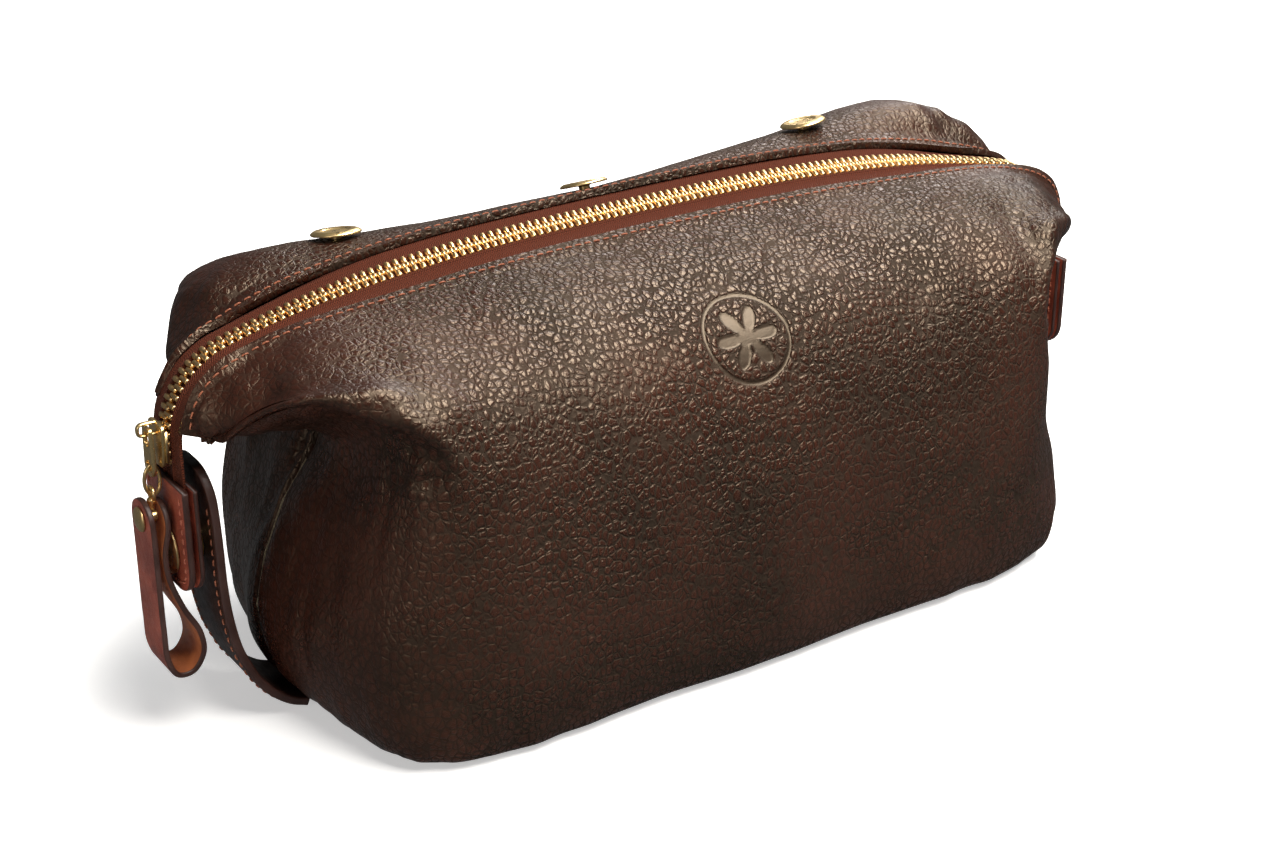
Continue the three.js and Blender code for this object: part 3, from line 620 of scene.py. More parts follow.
def relief(side, points, u, v):
    """Height of folds, wrinkles and the pressed mark over the smooth surface, in mm."""
    s, v = np.abs(u)[None, :], v[:, None]
    height = 0.5 * waves(points, 70, 3) + 0.16 * waves(points, 26, 5)
    if side < 0:
        # the wing folds: a rolled crest that runs down into the corner, and a hollow under it
        height -= 6.0 * bell(v, 0.672, 0.04) * bell(s, 0.64, 0.12)
        along_wing = smoothstep(s, 0.42, 0.52) * (1 - smoothstep(s, 0.85, 0.97))
        height += 2.8 * bell(v, 0.782, 0.024) * along_wing
        height += 2.4 * bell(s, 0.485, 0.028) * bell(v, 0.67, 0.08)
    else:
        height -= 3.0 * bell(v, 0.655, 0.045) * bell(s, 0.62, 0.09)
    # soft diagonal drag lines from the wing corners into the top of the front
    corner = bell(s, 0.42, 0.14) * bell(v, 0.77, 0.14)
    height += corner * (0.7 if side < 0 else 0.25) * waves(points, 15, 11, (1.0, 2.4, 2.4))
    # short puckers round the end of each wing fold
    pucker = bell(s, 0.56, 0.06) * bell(v, 0.63, 0.06)
    height += pucker * 0.9 * waves(points, 7.5, 17, (2.2, 1, 1))
    # fine wrinkles down the folded ends
    end = smoothstep(s, 0.45, 0.62) * smoothstep(1 - s, 0, 0.06)
    height += end * 0.28 * waves(points, 9, 23, (1, 1, 2.5))
    height += end * 0.5 * waves(points, 24, 29, (1, 1, 2))
    # drape creases where the sides meet the base
    low = bell(v, 0.2, 0.12) * bell(s, 0.45, 0.16)
    height += low * 0.55 * waves(points, 14, 31, (1, 1, 3.0))
    # shallow dip along the zip, where the stitches pull the leather down
    height -= STITCH_DIP * bell(v, 1 - 0.034, 0.012)
    if side < 0:
        height -= MARK_DEPTH * mark_depth(points)
    fade = smoothstep(v, 0.04, 0.14) * (1 - 0.7 * smoothstep(v, 0.93, 1))
    return height * fade * smoothstep(1 - s, 0.0, 0.06)


def spread(count, density, low, high):
    """count + 1 values from low to high, closer together where density is high."""
    t = np.linspace(low, high, 4001)
    total = np.concatenate([[0], np.cumsum((density(t)[1:] + density(t)[:-1]) / 2)])
    return np.interp(np.linspace(0, total[-1], count + 1), total, t)


BODY_COLUMNS, BODY_ROWS = 460, 210
# the grid is finer over the mark, the wings, the seams, the zip edge and the foot
body_u = spread(BODY_COLUMNS, lambda t: 1 + 1.6 * bell(t, -0.005, 0.085) + 1.5 * bell(np.abs(t), 1, 0.05)
                + 0.6 * bell(np.abs(t), 0.6, 0.2), -1, 1)
body_v = spread(BODY_ROWS, lambda t: 1 + 0.8 * bell(t, 0.7, 0.12) + 0.5 * bell(t, 0.97, 0.04)
                + 0.8 * bell(t, 0.06, 0.06), 0, 1)

WING_V, WING_S = 0.745, 0.67            # middle of a wing's lower edge, as shares of height and half length
WING_ARCH, WING_PULLED_IN, WING_DROP, WING_POINT = 5.5, 8.0, 3.0, 3.5
SEAM_CREASE, SEAM_VALLEY = 3.2, 1.8


def body_surface(side):
    grid = shell(side, body_u, body_v)
    normal = surface_normals(grid, side)
    grid = grid + normal * relief(side, grid, body_u, body_v)[..., None]
    s = np.abs(body_u)
    left, right = body_u < 0, body_u > 0
    if side < 0:
        # the left wing's lower edge arches up between the corner and the tip; the right one is pulled in
        wing = bell(body_v, WING_V, 0.06)[:, None]
        arch = left * WING_ARCH * bell(s, WING_S, 0.12)
        drop = right * WING_DROP * bell(s, WING_S, 0.15)
        grid[..., 2] += wing * (arch - drop)[None, :]
        grid[..., 0] -= wing * (right * WING_PULLED_IN * bell(s, WING_S + 0.01, 0.16))[None, :]
    # the pointed end of each wing sits a little higher than its seam
    grid[..., 2] += WING_POINT * (bell(body_v, WING_V, 0.05)[:, None] * smoothstep(s, 0.84, 1)[None, :])
    # the end seams lie in a crease, up to where they part round the zip
    groove = SEAM_CREASE * bell(s, 1, 0.012) + SEAM_VALLEY * bell(s, 1, 0.05)
    opened = smoothstep(body_v, SEAM_OPENS - 0.03, SEAM_OPENS + 0.03)
    closed = smoothstep(body_v, 0.03, 0.12) * (1 - opened)
    grid[..., 0] -= np.sign(body_u)[None, :] * groove[None, :] * closed[:, None]
    grid[..., 2] = np.maximum(grid[..., 2], 0)
    return grid


surfaces = {side: body_surface(side) for side in (-1, 1)}


BASE_STEPS, BASE_RISE = 24, 0.9
WELD = 0.02                             # mm


def make_body():
    rows, columns = BODY_ROWS + 1, BODY_COLUMNS + 1
    front, back = surfaces[-1], surfaces[1]
    # base between the two lowest rows, a little hollow in the middle
    base = []
    for k in range(1, BASE_STEPS):
        t = k / BASE_STEPS
        row = front[0] * (1 - t) + back[0] * t
        inside = np.minimum(smoothstep(1 - np.abs(body_u), 0, 0.25), math.sin(math.pi * t))
        row[:, 2] += BASE_RISE * inside
        base.append(row)
    points = np.concatenate([front.reshape(-1, 3), back.reshape(-1, 3)] + base)
    faces = grid_faces(rows, columns) + [f[::-1] for f in grid_faces(rows, columns, rows * columns)]
    first = 2 * rows * columns
    starts = [0] + [first + k * columns for k in range(BASE_STEPS - 1)] + [rows * columns]
    for a, b in zip(starts, starts[1:]):
        faces += [(a + c + 1, a + c, b + c, b + c + 1) for c in range(columns - 1)]
    body = mesh_object("leather_body", points, faces, [hide], weld=WELD * MM)
    solid = body.modifiers.new("thickness", "SOLIDIFY")
    solid.thickness = LEATHER * MM
    solid.offset = -1
    edge = body.modifiers.new("cut_edge", "BEVEL")
    edge.width = 0.7 * MM
    edge.segments = 2
    edge.limit_method = "ANGLE"
    edge.angle_limit = math.radians(65)
    apply_modifiers(body)
    body.data.polygons.foreach_set("use_smooth", [True] * len(body.data.polygons))
    place(body, "root", "hide", "front_panel", "back_panel", "base_panel")


make_body()
# the inside keeps the CAD's shapes, with finishes of its own
for name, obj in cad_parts.items():
    for part, finish in (("lining", lining), ("back_stud_ring", brass)):
        if part in name:
            obj.data.materials.clear()
            obj.data.materials.append(finish)


# ---------------------------------------------------------------- stitching
THREAD, THREAD_RISE, THREAD_SINK, THREAD_SLANT = 0.27, 0.16, 0.42, 0.1


def stitches(name, line, up, material, pitch=3.1, length=2.35):
    """Thread stitches along a polyline, each a short thread that dips into the leather at both ends."""
    line, up = np.asarray(line, float), unit(np.asarray(up, float))
    gone = run_length(line)
    spots = np.arange(pitch * 0.5, gone[-1] - pitch * 0.4, pitch)
    points, faces, uvs = [], [], []
    sides, rings = 6, 7

    def sample(values, where):
        return np.stack([np.interp(where, gone, values[:, i]) for i in range(3)], -1)

    for spot in spots:
        t = np.linspace(-1, 1, rings)
        where = spot + length / 2 * t
        centre, lift = sample(line, where), unit(sample(up, where))
        forward = unit(np.gradient(centre, axis=0))
        across = unit(np.cross(forward, lift))
        rise, drift = THREAD_RISE - THREAD_SINK * t ** 4, THREAD_SLANT * t
        centre = centre + lift * rise[:, None] + across * drift[:, None]
        thick = THREAD * np.sqrt(np.maximum(1 - 0.8 * t ** 6, 0.02))
        first = len(points)
        for k in range(rings):
            for j in range(sides):
                a = 2 * math.pi * j / sides
                way = math.cos(a) * across[k] + math.sin(a) * lift[k]
                points.append(centre[k] + thick[k] * way)
                uvs.append((j / sides, (spot + t[k]) / 10))
        faces += tube_faces(rings, sides, first)
    return mesh_object(name, points, faces, [material], uvs=uvs)


def body_line(side, inset, low, high):
    """Line on the body inset mm from the zip edge, between two shares of the length, with its normals."""
    grid = surfaces[side]
    normal = surface_normals(grid, side)
    keep = np.nonzero((body_u > low) & (body_u < high))[0]
    line, up = [], []
    for c in keep[::3]:
        column = grid[::-1, c]
        gone = run_length(column)
        line.append([np.interp(inset, gone, column[:, i]) for i in range(3)])
        up.append([np.interp(inset, gone, normal[::-1, c, i]) for i in range(3)])
    return np.array(line), np.array(up)


STITCH_INSET = 2.6
for side, name in ((-1, "front_edge_stitches"), (1, "back_edge_stitches")):
    line, up = body_line(side, STITCH_INSET, -0.985, 0.985)
    place(stitches(name, line, up, thread), "root", "zip_tape")


# ---------------------------------------------------------------- zip tape and teeth
BEAD = 3.4                      # distance of the tape's corded edge from the chain's centre
# (distance, rise of the upper face) over the corded edge
BEAD_SHAPE = [(0.3, 0.0), (BEAD - 0.7, 0.0), (BEAD - 0.35, 0.35), (BEAD + 0.1, 0.55), (BEAD + 0.55, 0.35),
              (BEAD + 0.95, 0.0)]
FLAT_STEPS = 5
TAPE_SPLIT = ZIP_HALF - 3.5     # above the hinge of the hanging end
TAPE_TAIL = 24.0                # hangs down past the end of the chain


def tape_mesh(name, start, stop):
    """Both halves of the tape between two distances from the middle of the bag."""
    d = np.linspace(start, stop, int(round(stop - start)) + 1)
    narrowing = smoothstep(np.abs(d), RIDGE_X - 45, RIDGE_X - 8)
    flat_from, n = BEAD_SHAPE[-1][0], len(d)
    points, faces, uvs = [], [], []
    for side, widest in ((-1, TAPE_RIDGE), (1, EDGE_BACK - 0.3)):
        reach = widest + (TAPE_BEND - widest) * narrowing
        upper = [(out + 0 * d, rise) for out, rise in BEAD_SHAPE]
        upper += [(flat_from + (reach - flat_from) * k / FLAT_STEPS, 0.0) for k in range(1, FLAT_STEPS + 1)]
        section = [(out, rise + TAPE / 2) for out, rise in upper]
        section += [(out, -TAPE / 2) for out, _ in upper[::-1]]
        first = len(points)
        for out, lift in section:
            points += list(zip_at(d, side * out, lift))
            uvs += [(side * o / 10, x / 10) for o, x in zip(out, d)]
        rows = [first + r * n for r in range(len(section))]
        for a, b in zip(rows, rows[1:] + rows[:1]):
            faces += [(a + c, a + c + 1, b + c + 1, b + c) for c in range(n - 1)]
        faces += [rows, [r + n - 1 for r in rows]]
    return mesh_object(name, points, faces, [tape], uvs=uvs)


middle_tape = tape_mesh("zip_tape_middle", -TAPE_SPLIT, TAPE_SPLIT)
place(middle_tape, "root", "zip_tape", "zip_tape_front", "zip_tape_back")
for end, start, stop, x in (("left", -ZIP_HALF - TAPE_TAIL, -TAPE_SPLIT, -TIP_X),
                            ("right", TAPE_SPLIT, ZIP_HALF + TAPE_TAIL, TIP_X + RIGHT_REACH)):
    tail = tape_mesh(f"{end}_zip_end", start, stop)
    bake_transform(tail)
    stand_for(tail, "zip_tape", f"{end}_tail_tape")

TOOTH_PITCH = 2.5
TOOTH_RISE = 0.35
# (distance from the chain's centre, half length along the chain, half height), tape side first
TOOTH = [(3.5, 0.45, 0.8), (3.35, 0.68, 1.05), (3.0, 0.76, 1.2), (1.6, 0.76, 1.25), (1.2, 0.6, 1.05),
         (0.7, 0.56, 1.0), (0.4, 0.62, 1.15), (-0.4, 0.6, 1.15), (-0.7, 0.45, 1.0), (-0.85, 0.2, 0.7)]
TOOTH_CORNER = [(1, 0.55), (0.6, 1), (-0.6, 1), (-1, 0.55), (-1, -0.55), (-0.6, -1), (0.6, -1), (1, -0.55)]


def make_teeth():
    points, faces = [], []
    count = int((ZIP_HALF - 1.5) / TOOTH_PITCH)
    for side in (-1, 1):
        for k in range(-count, count + 1):
            d = (k + (0.5 if side > 0 else 0)) * TOOTH_PITCH
            centre, across, up, along = (a[0] for a in zip_point(abs(d)))
            if d > 0:
                centre, up, along = mirrored(centre), up * (-1, 1, 1), along * (-1, 1, 1)
            first = len(points)
            for out, half_long, half_high in TOOTH:
                points += [centre + across * side * out + along * a * half_long
                           + up * (b * half_high + TOOTH_RISE) for a, b in TOOTH_CORNER]
            faces += tube_faces(len(TOOTH), len(TOOTH_CORNER), first)
    teeth = mesh_object("zip_teeth_chain", points, faces, [teeth_brass])
    place(teeth, "root", "brass", "zip_teeth_front", "zip_teeth_back")


make_teeth()


# ---------------------------------------------------------------- leather strips
CORNER_STEPS = 4


def strip(name, path, width, thick, materials, start_round=0.0, end_round=0.0, edge=0.5):
    """Leather strip along an (x, z) path, centred on the zip plane; its ends and long edges are rounded.

    materials: the face to the left of the path, the edge, the face to its right.
    """
    line = smooth_path(path, 0.7)
    gone = run_length(line)
    total = gone[-1]
    stops = [gone]
    for radius, flip in ((start_round, False), (end_round, True)):
        if radius:
            near = radius * (1 - np.cos(np.linspace(0, math.pi / 2, 10)))
            stops.append(total - near if flip else near)
    where = np.unique(np.round(np.concatenate(stops), 4))
    line = np.stack([np.interp(where, gone, line[:, i]) for i in range(2)], 1)
    half = np.full(len(where), width / 2)
    for radius, distance in ((start_round, where), (end_round, total - where)):
        if radius:
            inside = distance < radius
            half[inside] = width / 2 - radius + np.sqrt(
                np.maximum(radius ** 2 - (radius - distance[inside]) ** 2, 0))
    forward = unit(np.gradient(line, axis=0))
    side = np.stack([-forward[:, 1], forward[:, 0]], 1)
    h, e = thick / 2, min(edge, thick / 2.05)
    section = []
    for turn, (wide, high) in enumerate(((1, 1), (-1, 1), (-1, -1), (1, -1))):
        for a in np.linspace(0, math.pi / 2, CORNER_STEPS):
            angle = a + turn * math.pi / 2
            section.append((wide, e * math.cos(angle), high * (h - e) + e * math.sin(angle)))
    count = len(section)
    points, uvs = [], []
    for k in range(len(where)):
        for wide, dw, out in section:
            w = wide * (half[k] - e) + dw
            points.append((line[k, 0] + side[k, 0] * out, ZIP_Y + w, line[k, 1] + side[k, 1] * out))
            uvs.append((w * MM, where[k] * MM))
    faces = tube_faces(len(where), count)
    slot_of = {CORNER_STEPS - 1: 0, 3 * CORNER_STEPS - 1: 2}
    slots = [slot_of.get(f[0] % count, 1) for f in faces[:-2]] + [1, 1]
    return mesh_object(name, points, faces, materials, uvs=uvs, slots=slots)


def on_end(obj, end):
    """A piece made for the left end, or the same moved to the right end."""
    if end == "right":
        move = Matrix.Translation((RIGHT_REACH * MM, 0, 0)) @ Matrix.Scale(-1, 4, (1, 0, 0))
        obj.data.transform(move)
        obj.data.flip_normals()
    return obj


def outline(y0, y1, z0, z1, radius, steps=8):
    """Open line down one side of a tab, round its foot and up the other side, as (y, z)."""
    arc = np.linspace(0, math.pi / 2, steps)
    line = [(y0, z1)]
    line += [(y0 + radius - radius * math.cos(a), z0 + radius - radius * math.sin(a)) for a in arc]
    line += [(y1 - radius + radius * math.sin(a), z0 + radius - radius * math.cos(a)) for a in arc]
    return np.array(line + [(y1, z1)])


def even(line, step=0.8):
    """The polyline in steps of the same length."""
    line = np.asarray(line, float)
    gone = run_length(line)
    where = np.linspace(0, gone[-1], int(gone[-1] / step) + 1)
    return np.stack([np.interp(where, gone, line[:, i]) for i in range(line.shape[1])], 1)


STRAP_PATH = [(-122.6, 2.3), (-127.5, 4.4), (-133, 9), (-137.2, 14.6), (-139.2, 18.9), (-141.6, 25),
              (-143.6, 35), (-144.6, 46), (-144.8, 57), (-145.2, 68), (-146.2, 80)]
STRAP_SEWN_TO = 72                      # height up to which the strap is stitched
TAB_OUTER, TAB_INNER, TAB_GAP = 1.8, 1.3, 0.3
OUTER_X, INNER_X = TIP_X + TAPE / 2 + TAB_GAP, TIP_X - TAPE / 2 - TAB_GAP
OUTER_FACE, INNER_FACE = OUTER_X + TAB_OUTER, INNER_X - TAB_INNER
TAB_INSET, STRAP_INSET = 2.4, 2.3       # stitches from the edge
OUT, IN = (-1, 0, 0), (1, 0, 0)
SNAP_CAP = rounded_profile([(0, 0.1), (2.6, 0.1), (7.3, 0.25), (7.3, 0.8), (6.0, 1.45), (4.6, 1.35),
                            (0, 1.75)], 0.4)
SNAP_SOCKET = rounded_profile([(2.6, 0.2), (2.6, 1.8), (4.6, 1.8), (5.8, 1.3), (5.8, 0.2), (2.6, 0.2)], 0.2)
SNAP_STUD = rounded_profile([(0, 0.1), (5, 0.1), (5, 1.0), (2.3, 1.2), (1.9, 1.8), (2.2, 2.5), (1.6, 2.9),
                             (0, 2.9)], 0.3)


def make_tabs(end):
    tail = f"{end}_tail"
    row = even(outline(ZIP_Y - TAB_WIDE / 2 + TAB_INSET, ZIP_Y + TAB_WIDE / 2 - TAB_INSET,
                       TAB_BOTTOM + TAB_INSET, TAB_TOP - 1.6, TAB_CORNER - TAB_INSET))
    for part, x, thick, face, way in (("outer", OUTER_X + TAB_OUTER / 2, TAB_OUTER, OUTER_FACE, OUT),
                                      ("inner", INNER_X - TAB_INNER / 2, TAB_INNER, INNER_FACE, IN)):
        path = [(-x, TAB_TOP), (-x, 68), (-x, 57), (-x, TAB_BOTTOM)]
        piece = strip(f"{tail}_{part}_leather", path, TAB_WIDE, thick, [tan, dark_edge, tan],
                      end_round=TAB_CORNER, edge=0.55)
        place(on_end(piece, end), tail, "tan_leather", f"{end}_tab_{part}")
        line = np.column_stack([np.full(len(row), -face), row])
        sewn = stitches(f"{tail}_{part}_stitches", line, np.tile(way, (len(line), 1)), thread_tan,
                        pitch=2.9, length=2.2)
        place(on_end(sewn, end), tail, "tan_leather")


def make_snaps(end):
    tail, strap = f"{end}_tail", f"{end}_strap"
    for name, profile, x, way, body, node in (
            ("snap_cap_dome", SNAP_CAP, -OUTER_FACE, OUT, tail, "snap_cap"),
            ("snap_socket_ring", SNAP_SOCKET, -INNER_FACE, IN, tail, "snap_socket"),
            ("snap_stud_post", SNAP_STUD, -STRAP_FACE, OUT, strap, "snap_stud")):
        piece = turned(f"{end}_{name}", profile, (x, ZIP_Y, SNAP_Z), way, brass)
        place(on_end(piece, end), body, "brass", f"{end}_{node}")


def make_strap(end):
    band = strip(f"{end}_strap_leather", STRAP_PATH, STRAP_WIDE, STRAP_THICK,
                 [strap_hide, dark_edge, strap_hide], end_round=9.0, edge=0.7)
    line = smooth_path(STRAP_PATH, 0.8)
    forward = unit(np.gradient(line, axis=0))
    outward = np.stack([-forward[:, 1], forward[:, 0]], 1)
    keep = line[:, 1] < STRAP_SEWN_TO
    face, lift = (line + outward * STRAP_THICK / 2)[keep], outward[keep]
    count = len(face)
    pieces = [band]
    for row, side in (("front", -1), ("back", 1)):
        y = np.full(count, ZIP_Y + side * (STRAP_WIDE / 2 - STRAP_INSET))
        sewn = np.column_stack([face[:, 0], y, face[:, 1]])
        above = np.column_stack([lift[:, 0], np.zeros(count), lift[:, 1]])
        pieces.append(stitches(f"{end}_strap_stitches_{row}", sewn, above, thread, length=2.4))
    for piece in pieces:
        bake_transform(on_end(piece, end))
    stand_for(band, "hide", f"{end}_strap_root", f"{end}_strap_arm")
    for piece in pieces[1:]:
        stand_for(piece, "zip_tape")


for end in ("left", "right"):
    make_tabs(end)
    make_snaps(end)
    make_strap(end)


# ---------------------------------------------------------------- press studs along the back
CAP_HEIGHT = 2.0
CAP = rounded_profile([(0, -1.5), (1.7, -1.5), (1.7, 0.6), (7.3, 0.75), (7.3, 1.35), (6.2, 2.05), (4.3, 2.0),
                       (3.7, 1.6), (0, 1.7)], 0.35)
for spot in ("left", "middle", "right"):
    ring = np.array([v.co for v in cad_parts[f"back_stud_ring_{spot}"].data.vertices]) / MM
    cap = np.array([v.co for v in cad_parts[f"back_stud_cap_{spot}"].data.vertices]) / MM
    # the inner ring is flat, so the stud's axis is the direction in which it spreads least
    flat = ring - ring.mean(0)
    axis = np.linalg.eigh(flat.T @ flat)[1][:, 0]
    axis = axis * np.sign(axis @ (cap.mean(0) - ring.mean(0)))
    top = ((cap - cap.mean(0)) @ axis).max()
    origin = cap.mean(0) + axis * (top - CAP_HEIGHT)
    piece = turned(f"back_stud_dome_{spot}", CAP, origin, axis, brass)
    place(piece, "root", "brass", f"back_stud_cap_{spot}")


# ---------------------------------------------------------------- slider, puller, link and pull
def plate(name, loops, x, thick, material, bevel=0.25):
    """Flat plate in the YZ plane at x; the first loop of (y, z) is its outline and the others are holes."""
    curve = bpy.data.curves.new(name, "CURVE")
    curve.dimensions = "2D"
    curve.fill_mode = "BOTH"
    curve.extrude = (thick / 2 - bevel) * MM
    curve.bevel_depth = bevel * MM
    curve.bevel_resolution = 2
    curve.offset = -bevel * MM
    for loop in loops:
        spline = curve.splines.new("POLY")
        spline.points.add(len(loop) - 1)
        spline.points.foreach_set("co", [c for y, z in loop for c in (y * MM, z * MM, 0, 1)])
        spline.use_cyclic_u = True
    upright = Matrix(((0, 0, 1, 0), (1, 0, 0, 0), (0, 1, 0, 0), (0, 0, 0, 1)))
    return from_curve(name, curve, material, Matrix.Translation((x * MM, 0, 0)) @ upright)


def from_curve(name, curve, material, move=Matrix.Identity(4)):
    """The curve as a mesh object."""
    holder = bpy.data.objects.new(name + "_curve", curve)
    bpy.context.scene.collection.objects.link(holder)
    bpy.context.view_layer.update()
    mesh = bpy.data.meshes.new_from_object(holder.evaluated_get(bpy.context.evaluated_depsgraph_get()))
    bpy.data.objects.remove(holder)
    mesh.transform(move)
    mesh.materials.clear()
    mesh.materials.append(material)
    cleaned(mesh, TINY)
    mesh.name = name
    return new_object(name, mesh)


def wire(name, line, radius, material, closed=False):
    curve = bpy.data.curves.new(name, "CURVE")
    curve.dimensions = "3D"
    curve.bevel_depth = radius * MM
    curve.bevel_resolution = 4
    curve.use_fill_caps = True
    spline = curve.splines.new("POLY")
    spline.points.add(len(line) - 1)
    spline.points.foreach_set("co", [c for p in line for c in (p[0] * MM, p[1] * MM, p[2] * MM, 1)])
    spline.use_cyclic_u = closed
    return from_curve(name, curve, material)


def arc_points(y, z, radius, start, end, steps):
    angles = np.radians(np.linspace(start, end, steps))
    return [(y + radius * math.cos(a), z + radius * math.sin(a)) for a in angles]


def joined(name, pieces):
    """One object from several, in the material of the first."""
    work = bmesh.new()
    for piece in pieces:
        work.from_mesh(piece.data)
    mesh = bpy.data.meshes.new(name)
    work.to_mesh(mesh)
    work.free()
    mesh.materials.append(pieces[0].data.materials[0])
    for piece in pieces:
        bpy.data.objects.remove(piece)
    return new_object(name, mesh)


SLIDER_LOW, SLIDER_HIGH = BEND_Z - 6.3, BEND_Z + 6.3
STAPLE_X = PULLER_X + 2.7


def box_loop(y0, y1, z0, z1):
    return [(y0, z0), (y1, z0), (y1, z1), (y0, z1)]


def slider_outline():
    """Shield shape, wide at the mouth and narrow at the tail."""
    wide, narrow, mouth_r, tail_r = 4.7, 3.3, 1.6, 1.8
    top, foot = SLIDER_HIGH - mouth_r, SLIDER_LOW + tail_r
    loop = arc_points(ZIP_Y + wide - mouth_r, top, mouth_r, 0, 90, 6)
    loop += arc_points(ZIP_Y - wide + mouth_r, top, mouth_r, 90, 180, 6)
    loop += arc_points(ZIP_Y - narrow + tail_r, foot, tail_r, 180, 270, 6)
    loop += arc_points(ZIP_Y + narrow - tail_r, foot, tail_r, 270, 360, 6)
    return loop


def make_slider():
    outer, inner = -(TIP_X + 2.75), -(TIP_X - 1.95)
    pieces = [plate("slider_plate_outer", [slider_outline()], outer, 1.15, brass, 0.3),
              plate("slider_plate_inner", [slider_outline()], inner, 1.1, brass, 0.3)]
    for side in (-1, 1):
        y = ZIP_Y + side * 4.1
        for x in (outer + 0.75, inner - 0.6):
            flange = box_loop(y - 0.45, y + 0.45, SLIDER_LOW + 2, SLIDER_HIGH - 1.6)
            pieces.append(plate("slider_flange", [flange], x, 1.0, brass, 0.15))
    middle = box_loop(ZIP_Y - 0.45, ZIP_Y + 0.45, BEND_Z - 2, BEND_Z + 2)
    pieces.append(plate("slider_wedge", [middle], (outer + inner) / 2, 4.2, brass, 0.1))
    # arched bridge that holds the puller
    foot, low, high = outer - 0.2, 89.7, 92.9
    rounding = [(0.9, 0.0), (0.25, 0.35), (0.0, 1.1)]
    arch = [(foot, low)] + [(-STAPLE_X + x, low + z) for x, z in rounding]
    arch += [(-STAPLE_X + x, high - z) for x, z in rounding[::-1]] + [(foot, high)]
    line = [(x, ZIP_Y, z) for x, z in smooth_path(arch, 0.4)]
    bridge = wire("slider_bridge", line, 0.5, brass)
    to_middle = Matrix.Translation((0, -ZIP_Y * MM, 0))
    bridge.data.transform(to_middle.inverted() @ Matrix.Scale(1.7, 4, (0, 1, 0)) @ to_middle)
    pieces.append(bridge)
    place(joined("slider_shell", pieces), "slider", "brass", "slider_body")


def make_puller():
    half, top, bottom, hole, slot = 3.1, 91.8, 77.6, 1.6, 4.5
    loop = arc_points(ZIP_Y, bottom + half, half, 180, 360, 20)
    loop += arc_points(ZIP_Y + half * 0.8 - 1, top - 1, 1.0, 0, 90, 6)
    loop += arc_points(ZIP_Y - half * 0.8 + 1, top - 1, 1.0, 90, 180, 6)
    slot_top = top - 1 - hole
    slot_loop = arc_points(ZIP_Y, slot_top, hole, 0, 180, 12)
    slot_loop += arc_points(ZIP_Y, slot_top - slot + 2 * hole, hole, 180, 360, 12)
    round_loop = arc_points(ZIP_Y, bottom + half, hole, 0, 345, 22)
    piece = plate("puller_plate", [loop, slot_loop, round_loop], -PULLER_X, 1.25, brass, 0.3)
    place(piece, "puller", "brass", "puller")


def make_link():
    t = np.linspace(0, 2 * math.pi, 40, endpoint=False)
    loop = [(-PULLER_X + 2.2 * math.cos(a), ZIP_Y + 0.25 * math.sin(2 * a), 76.5 + 4.3 * math.sin(a))
            for a in t]
    place(wire("pull_link_wire", loop, 0.55, brass, closed=True), "puller", "brass", "pull_link")
    ring = [(-PULLER_X - 0.6, ZIP_Y + 1.9 * math.cos(a), 72.6 + 1.9 * math.sin(a)) for a in t]
    eye = wire("pull_eye_ring", ring, 0.5, brass, closed=True)
    shape = [(0, -2), (0.65, -2), (0.8, -1.2), (1.25, 0.2), (1.3, 0.9), (0.9, 1.3), (0, 1.3)]
    cone = turned("pull_eye_cone", rounded_profile(shape, 0.2), (-PULLER_X - 0.8, ZIP_Y, 70.1), (0, 0, 1),
                  brass, 28)
    place(joined("pull_eye_and_cone", [eye, cone]), "puller", "brass", "pull_eye")


# down the inner leg from the rivet, round the loop and up the outer leg
PULL_PATH = [(-155.9, 70.5), (-156.4, 64), (-157.8, 57.5), (-157.5, 50), (-154.4, 40), (-150.2, 31),
             (-149.8, 24.6), (-153.2, 19.8), (-157.6, 20), (-160, 25), (-160.4, 34), (-160.4, 52),
             (-160.4, 71.5)]


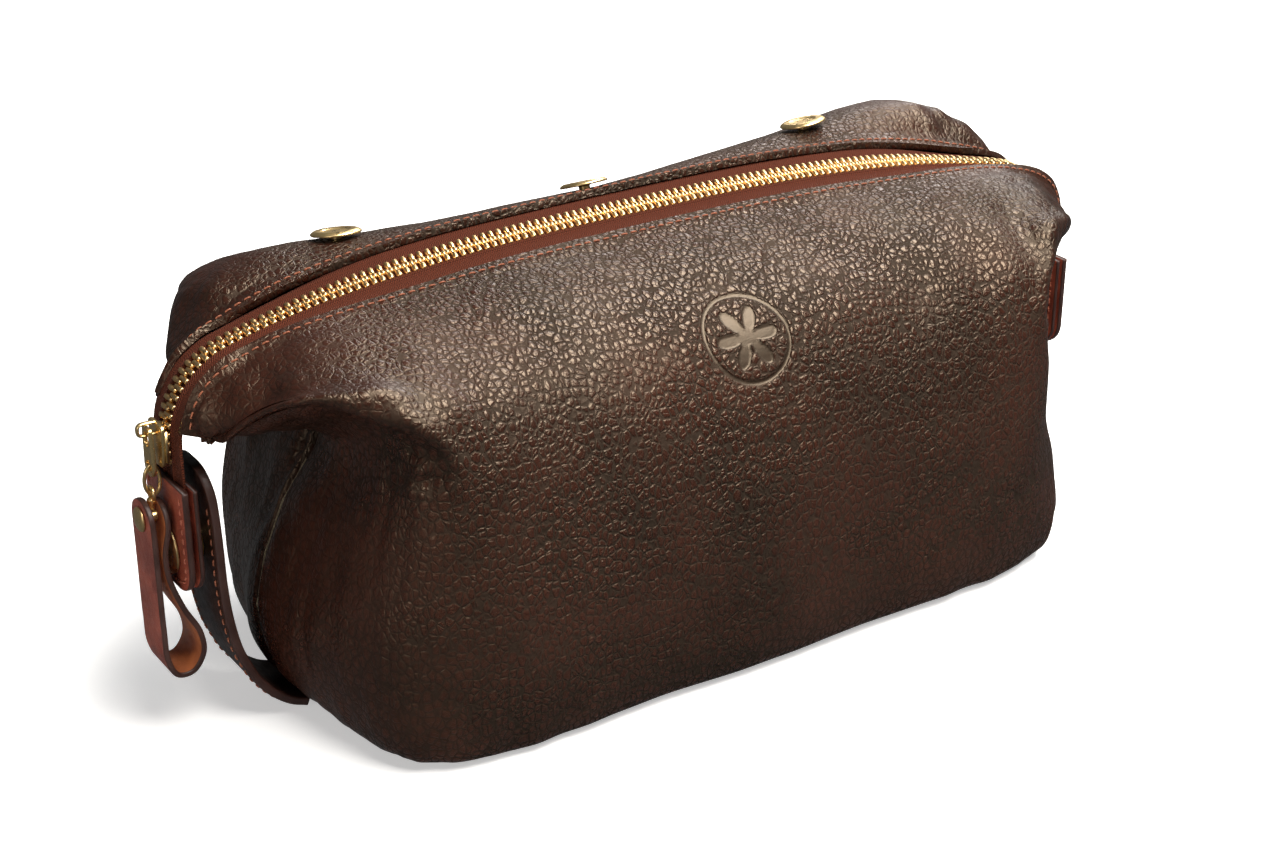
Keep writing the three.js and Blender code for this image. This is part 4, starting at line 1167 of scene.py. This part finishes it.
def make_pull():
    band = strip("pull_strap_leather", PULL_PATH, 14, 1.6, [tan, dark_edge, tan_back], start_round=6.4,
                 end_round=6.5, edge=0.5)
    place(band, "puller", "tan_leather", "pull_tab")
    shape = [(0, -3.6), (2.4, -3.6), (2.4, -3.1), (1.5, -3.0), (1.5, 3.0), (3.5, 3.1), (3.5, 3.5),
             (2.9, 4.0), (1.6, 4.3), (0, 4.4)]
    rivet = turned("pull_rivet_dome", rounded_profile(shape, 0.3), RIVET_AT, OUT, brass, 40)
    place(rivet, "puller", "brass", "pull_rivet")


make_slider()
make_puller()
make_link()
make_pull()


# ---------------------------------------------------------------- floor and light
def area_light(name, location, aim, size, power, colour=(1, 1, 1)):
    data = bpy.data.lights.new(name, "AREA")
    data.shape = "RECTANGLE"
    data.size, data.size_y = size
    data.energy = power
    data.color = colour
    lamp = bpy.data.objects.new(name, data)
    lamp.location = location
    lamp.rotation_euler = (Vector(aim) - Vector(location)).to_track_quat("-Z", "Y").to_euler()
    bpy.context.scene.collection.objects.link(lamp)


FLOOR_HALF, FLOOR_DROP = 6000, 0.3      # mm
paper = Graph("floor_pale", Roughness=0.9, Emission_Color=(1, 1, 1, 1), Emission_Strength=0.42)
pale = paper.mix(paper.noise(paper.where(), 3.0), (0.90, 0.90, 0.905, 1), (0.93, 0.93, 0.93, 1))
corners = [(x * FLOOR_HALF, y * FLOOR_HALF, 0) for x, y in ((-1, -1), (1, -1), (1, 1), (-1, 1))]
floor = mesh_object("floor", corners, [(0, 1, 2, 3)], [paper.finish(Base_Color=pale)])
floor.location.z = -FLOOR_DROP * MM
floor.visible_glossy = False

world = bpy.data.worlds.new("studio")
world.use_nodes = True
surroundings = world.node_tree.nodes["Background"].inputs
surroundings["Color"].default_value = (0.95, 0.97, 1.0, 1)
surroundings["Strength"].default_value = 0.11
bpy.context.scene.world = world
bpy.context.scene.view_settings.view_transform = "Standard"

area_light("softbox_top", (0.3, -0.26, 1.0), (0.02, -0.03, 0.07), (1.3, 0.6), 36, (1.0, 0.97, 0.92))
area_light("softbox_left", (-1.1, -0.6, 0.4), (-0.05, 0, 0.05), (0.25, 0.4), 2.6, (1.0, 0.93, 0.86))
area_light("softbox_back", (0.9, 0.9, 0.7), (0, 0, 0.08), (0.7, 0.3), 5)
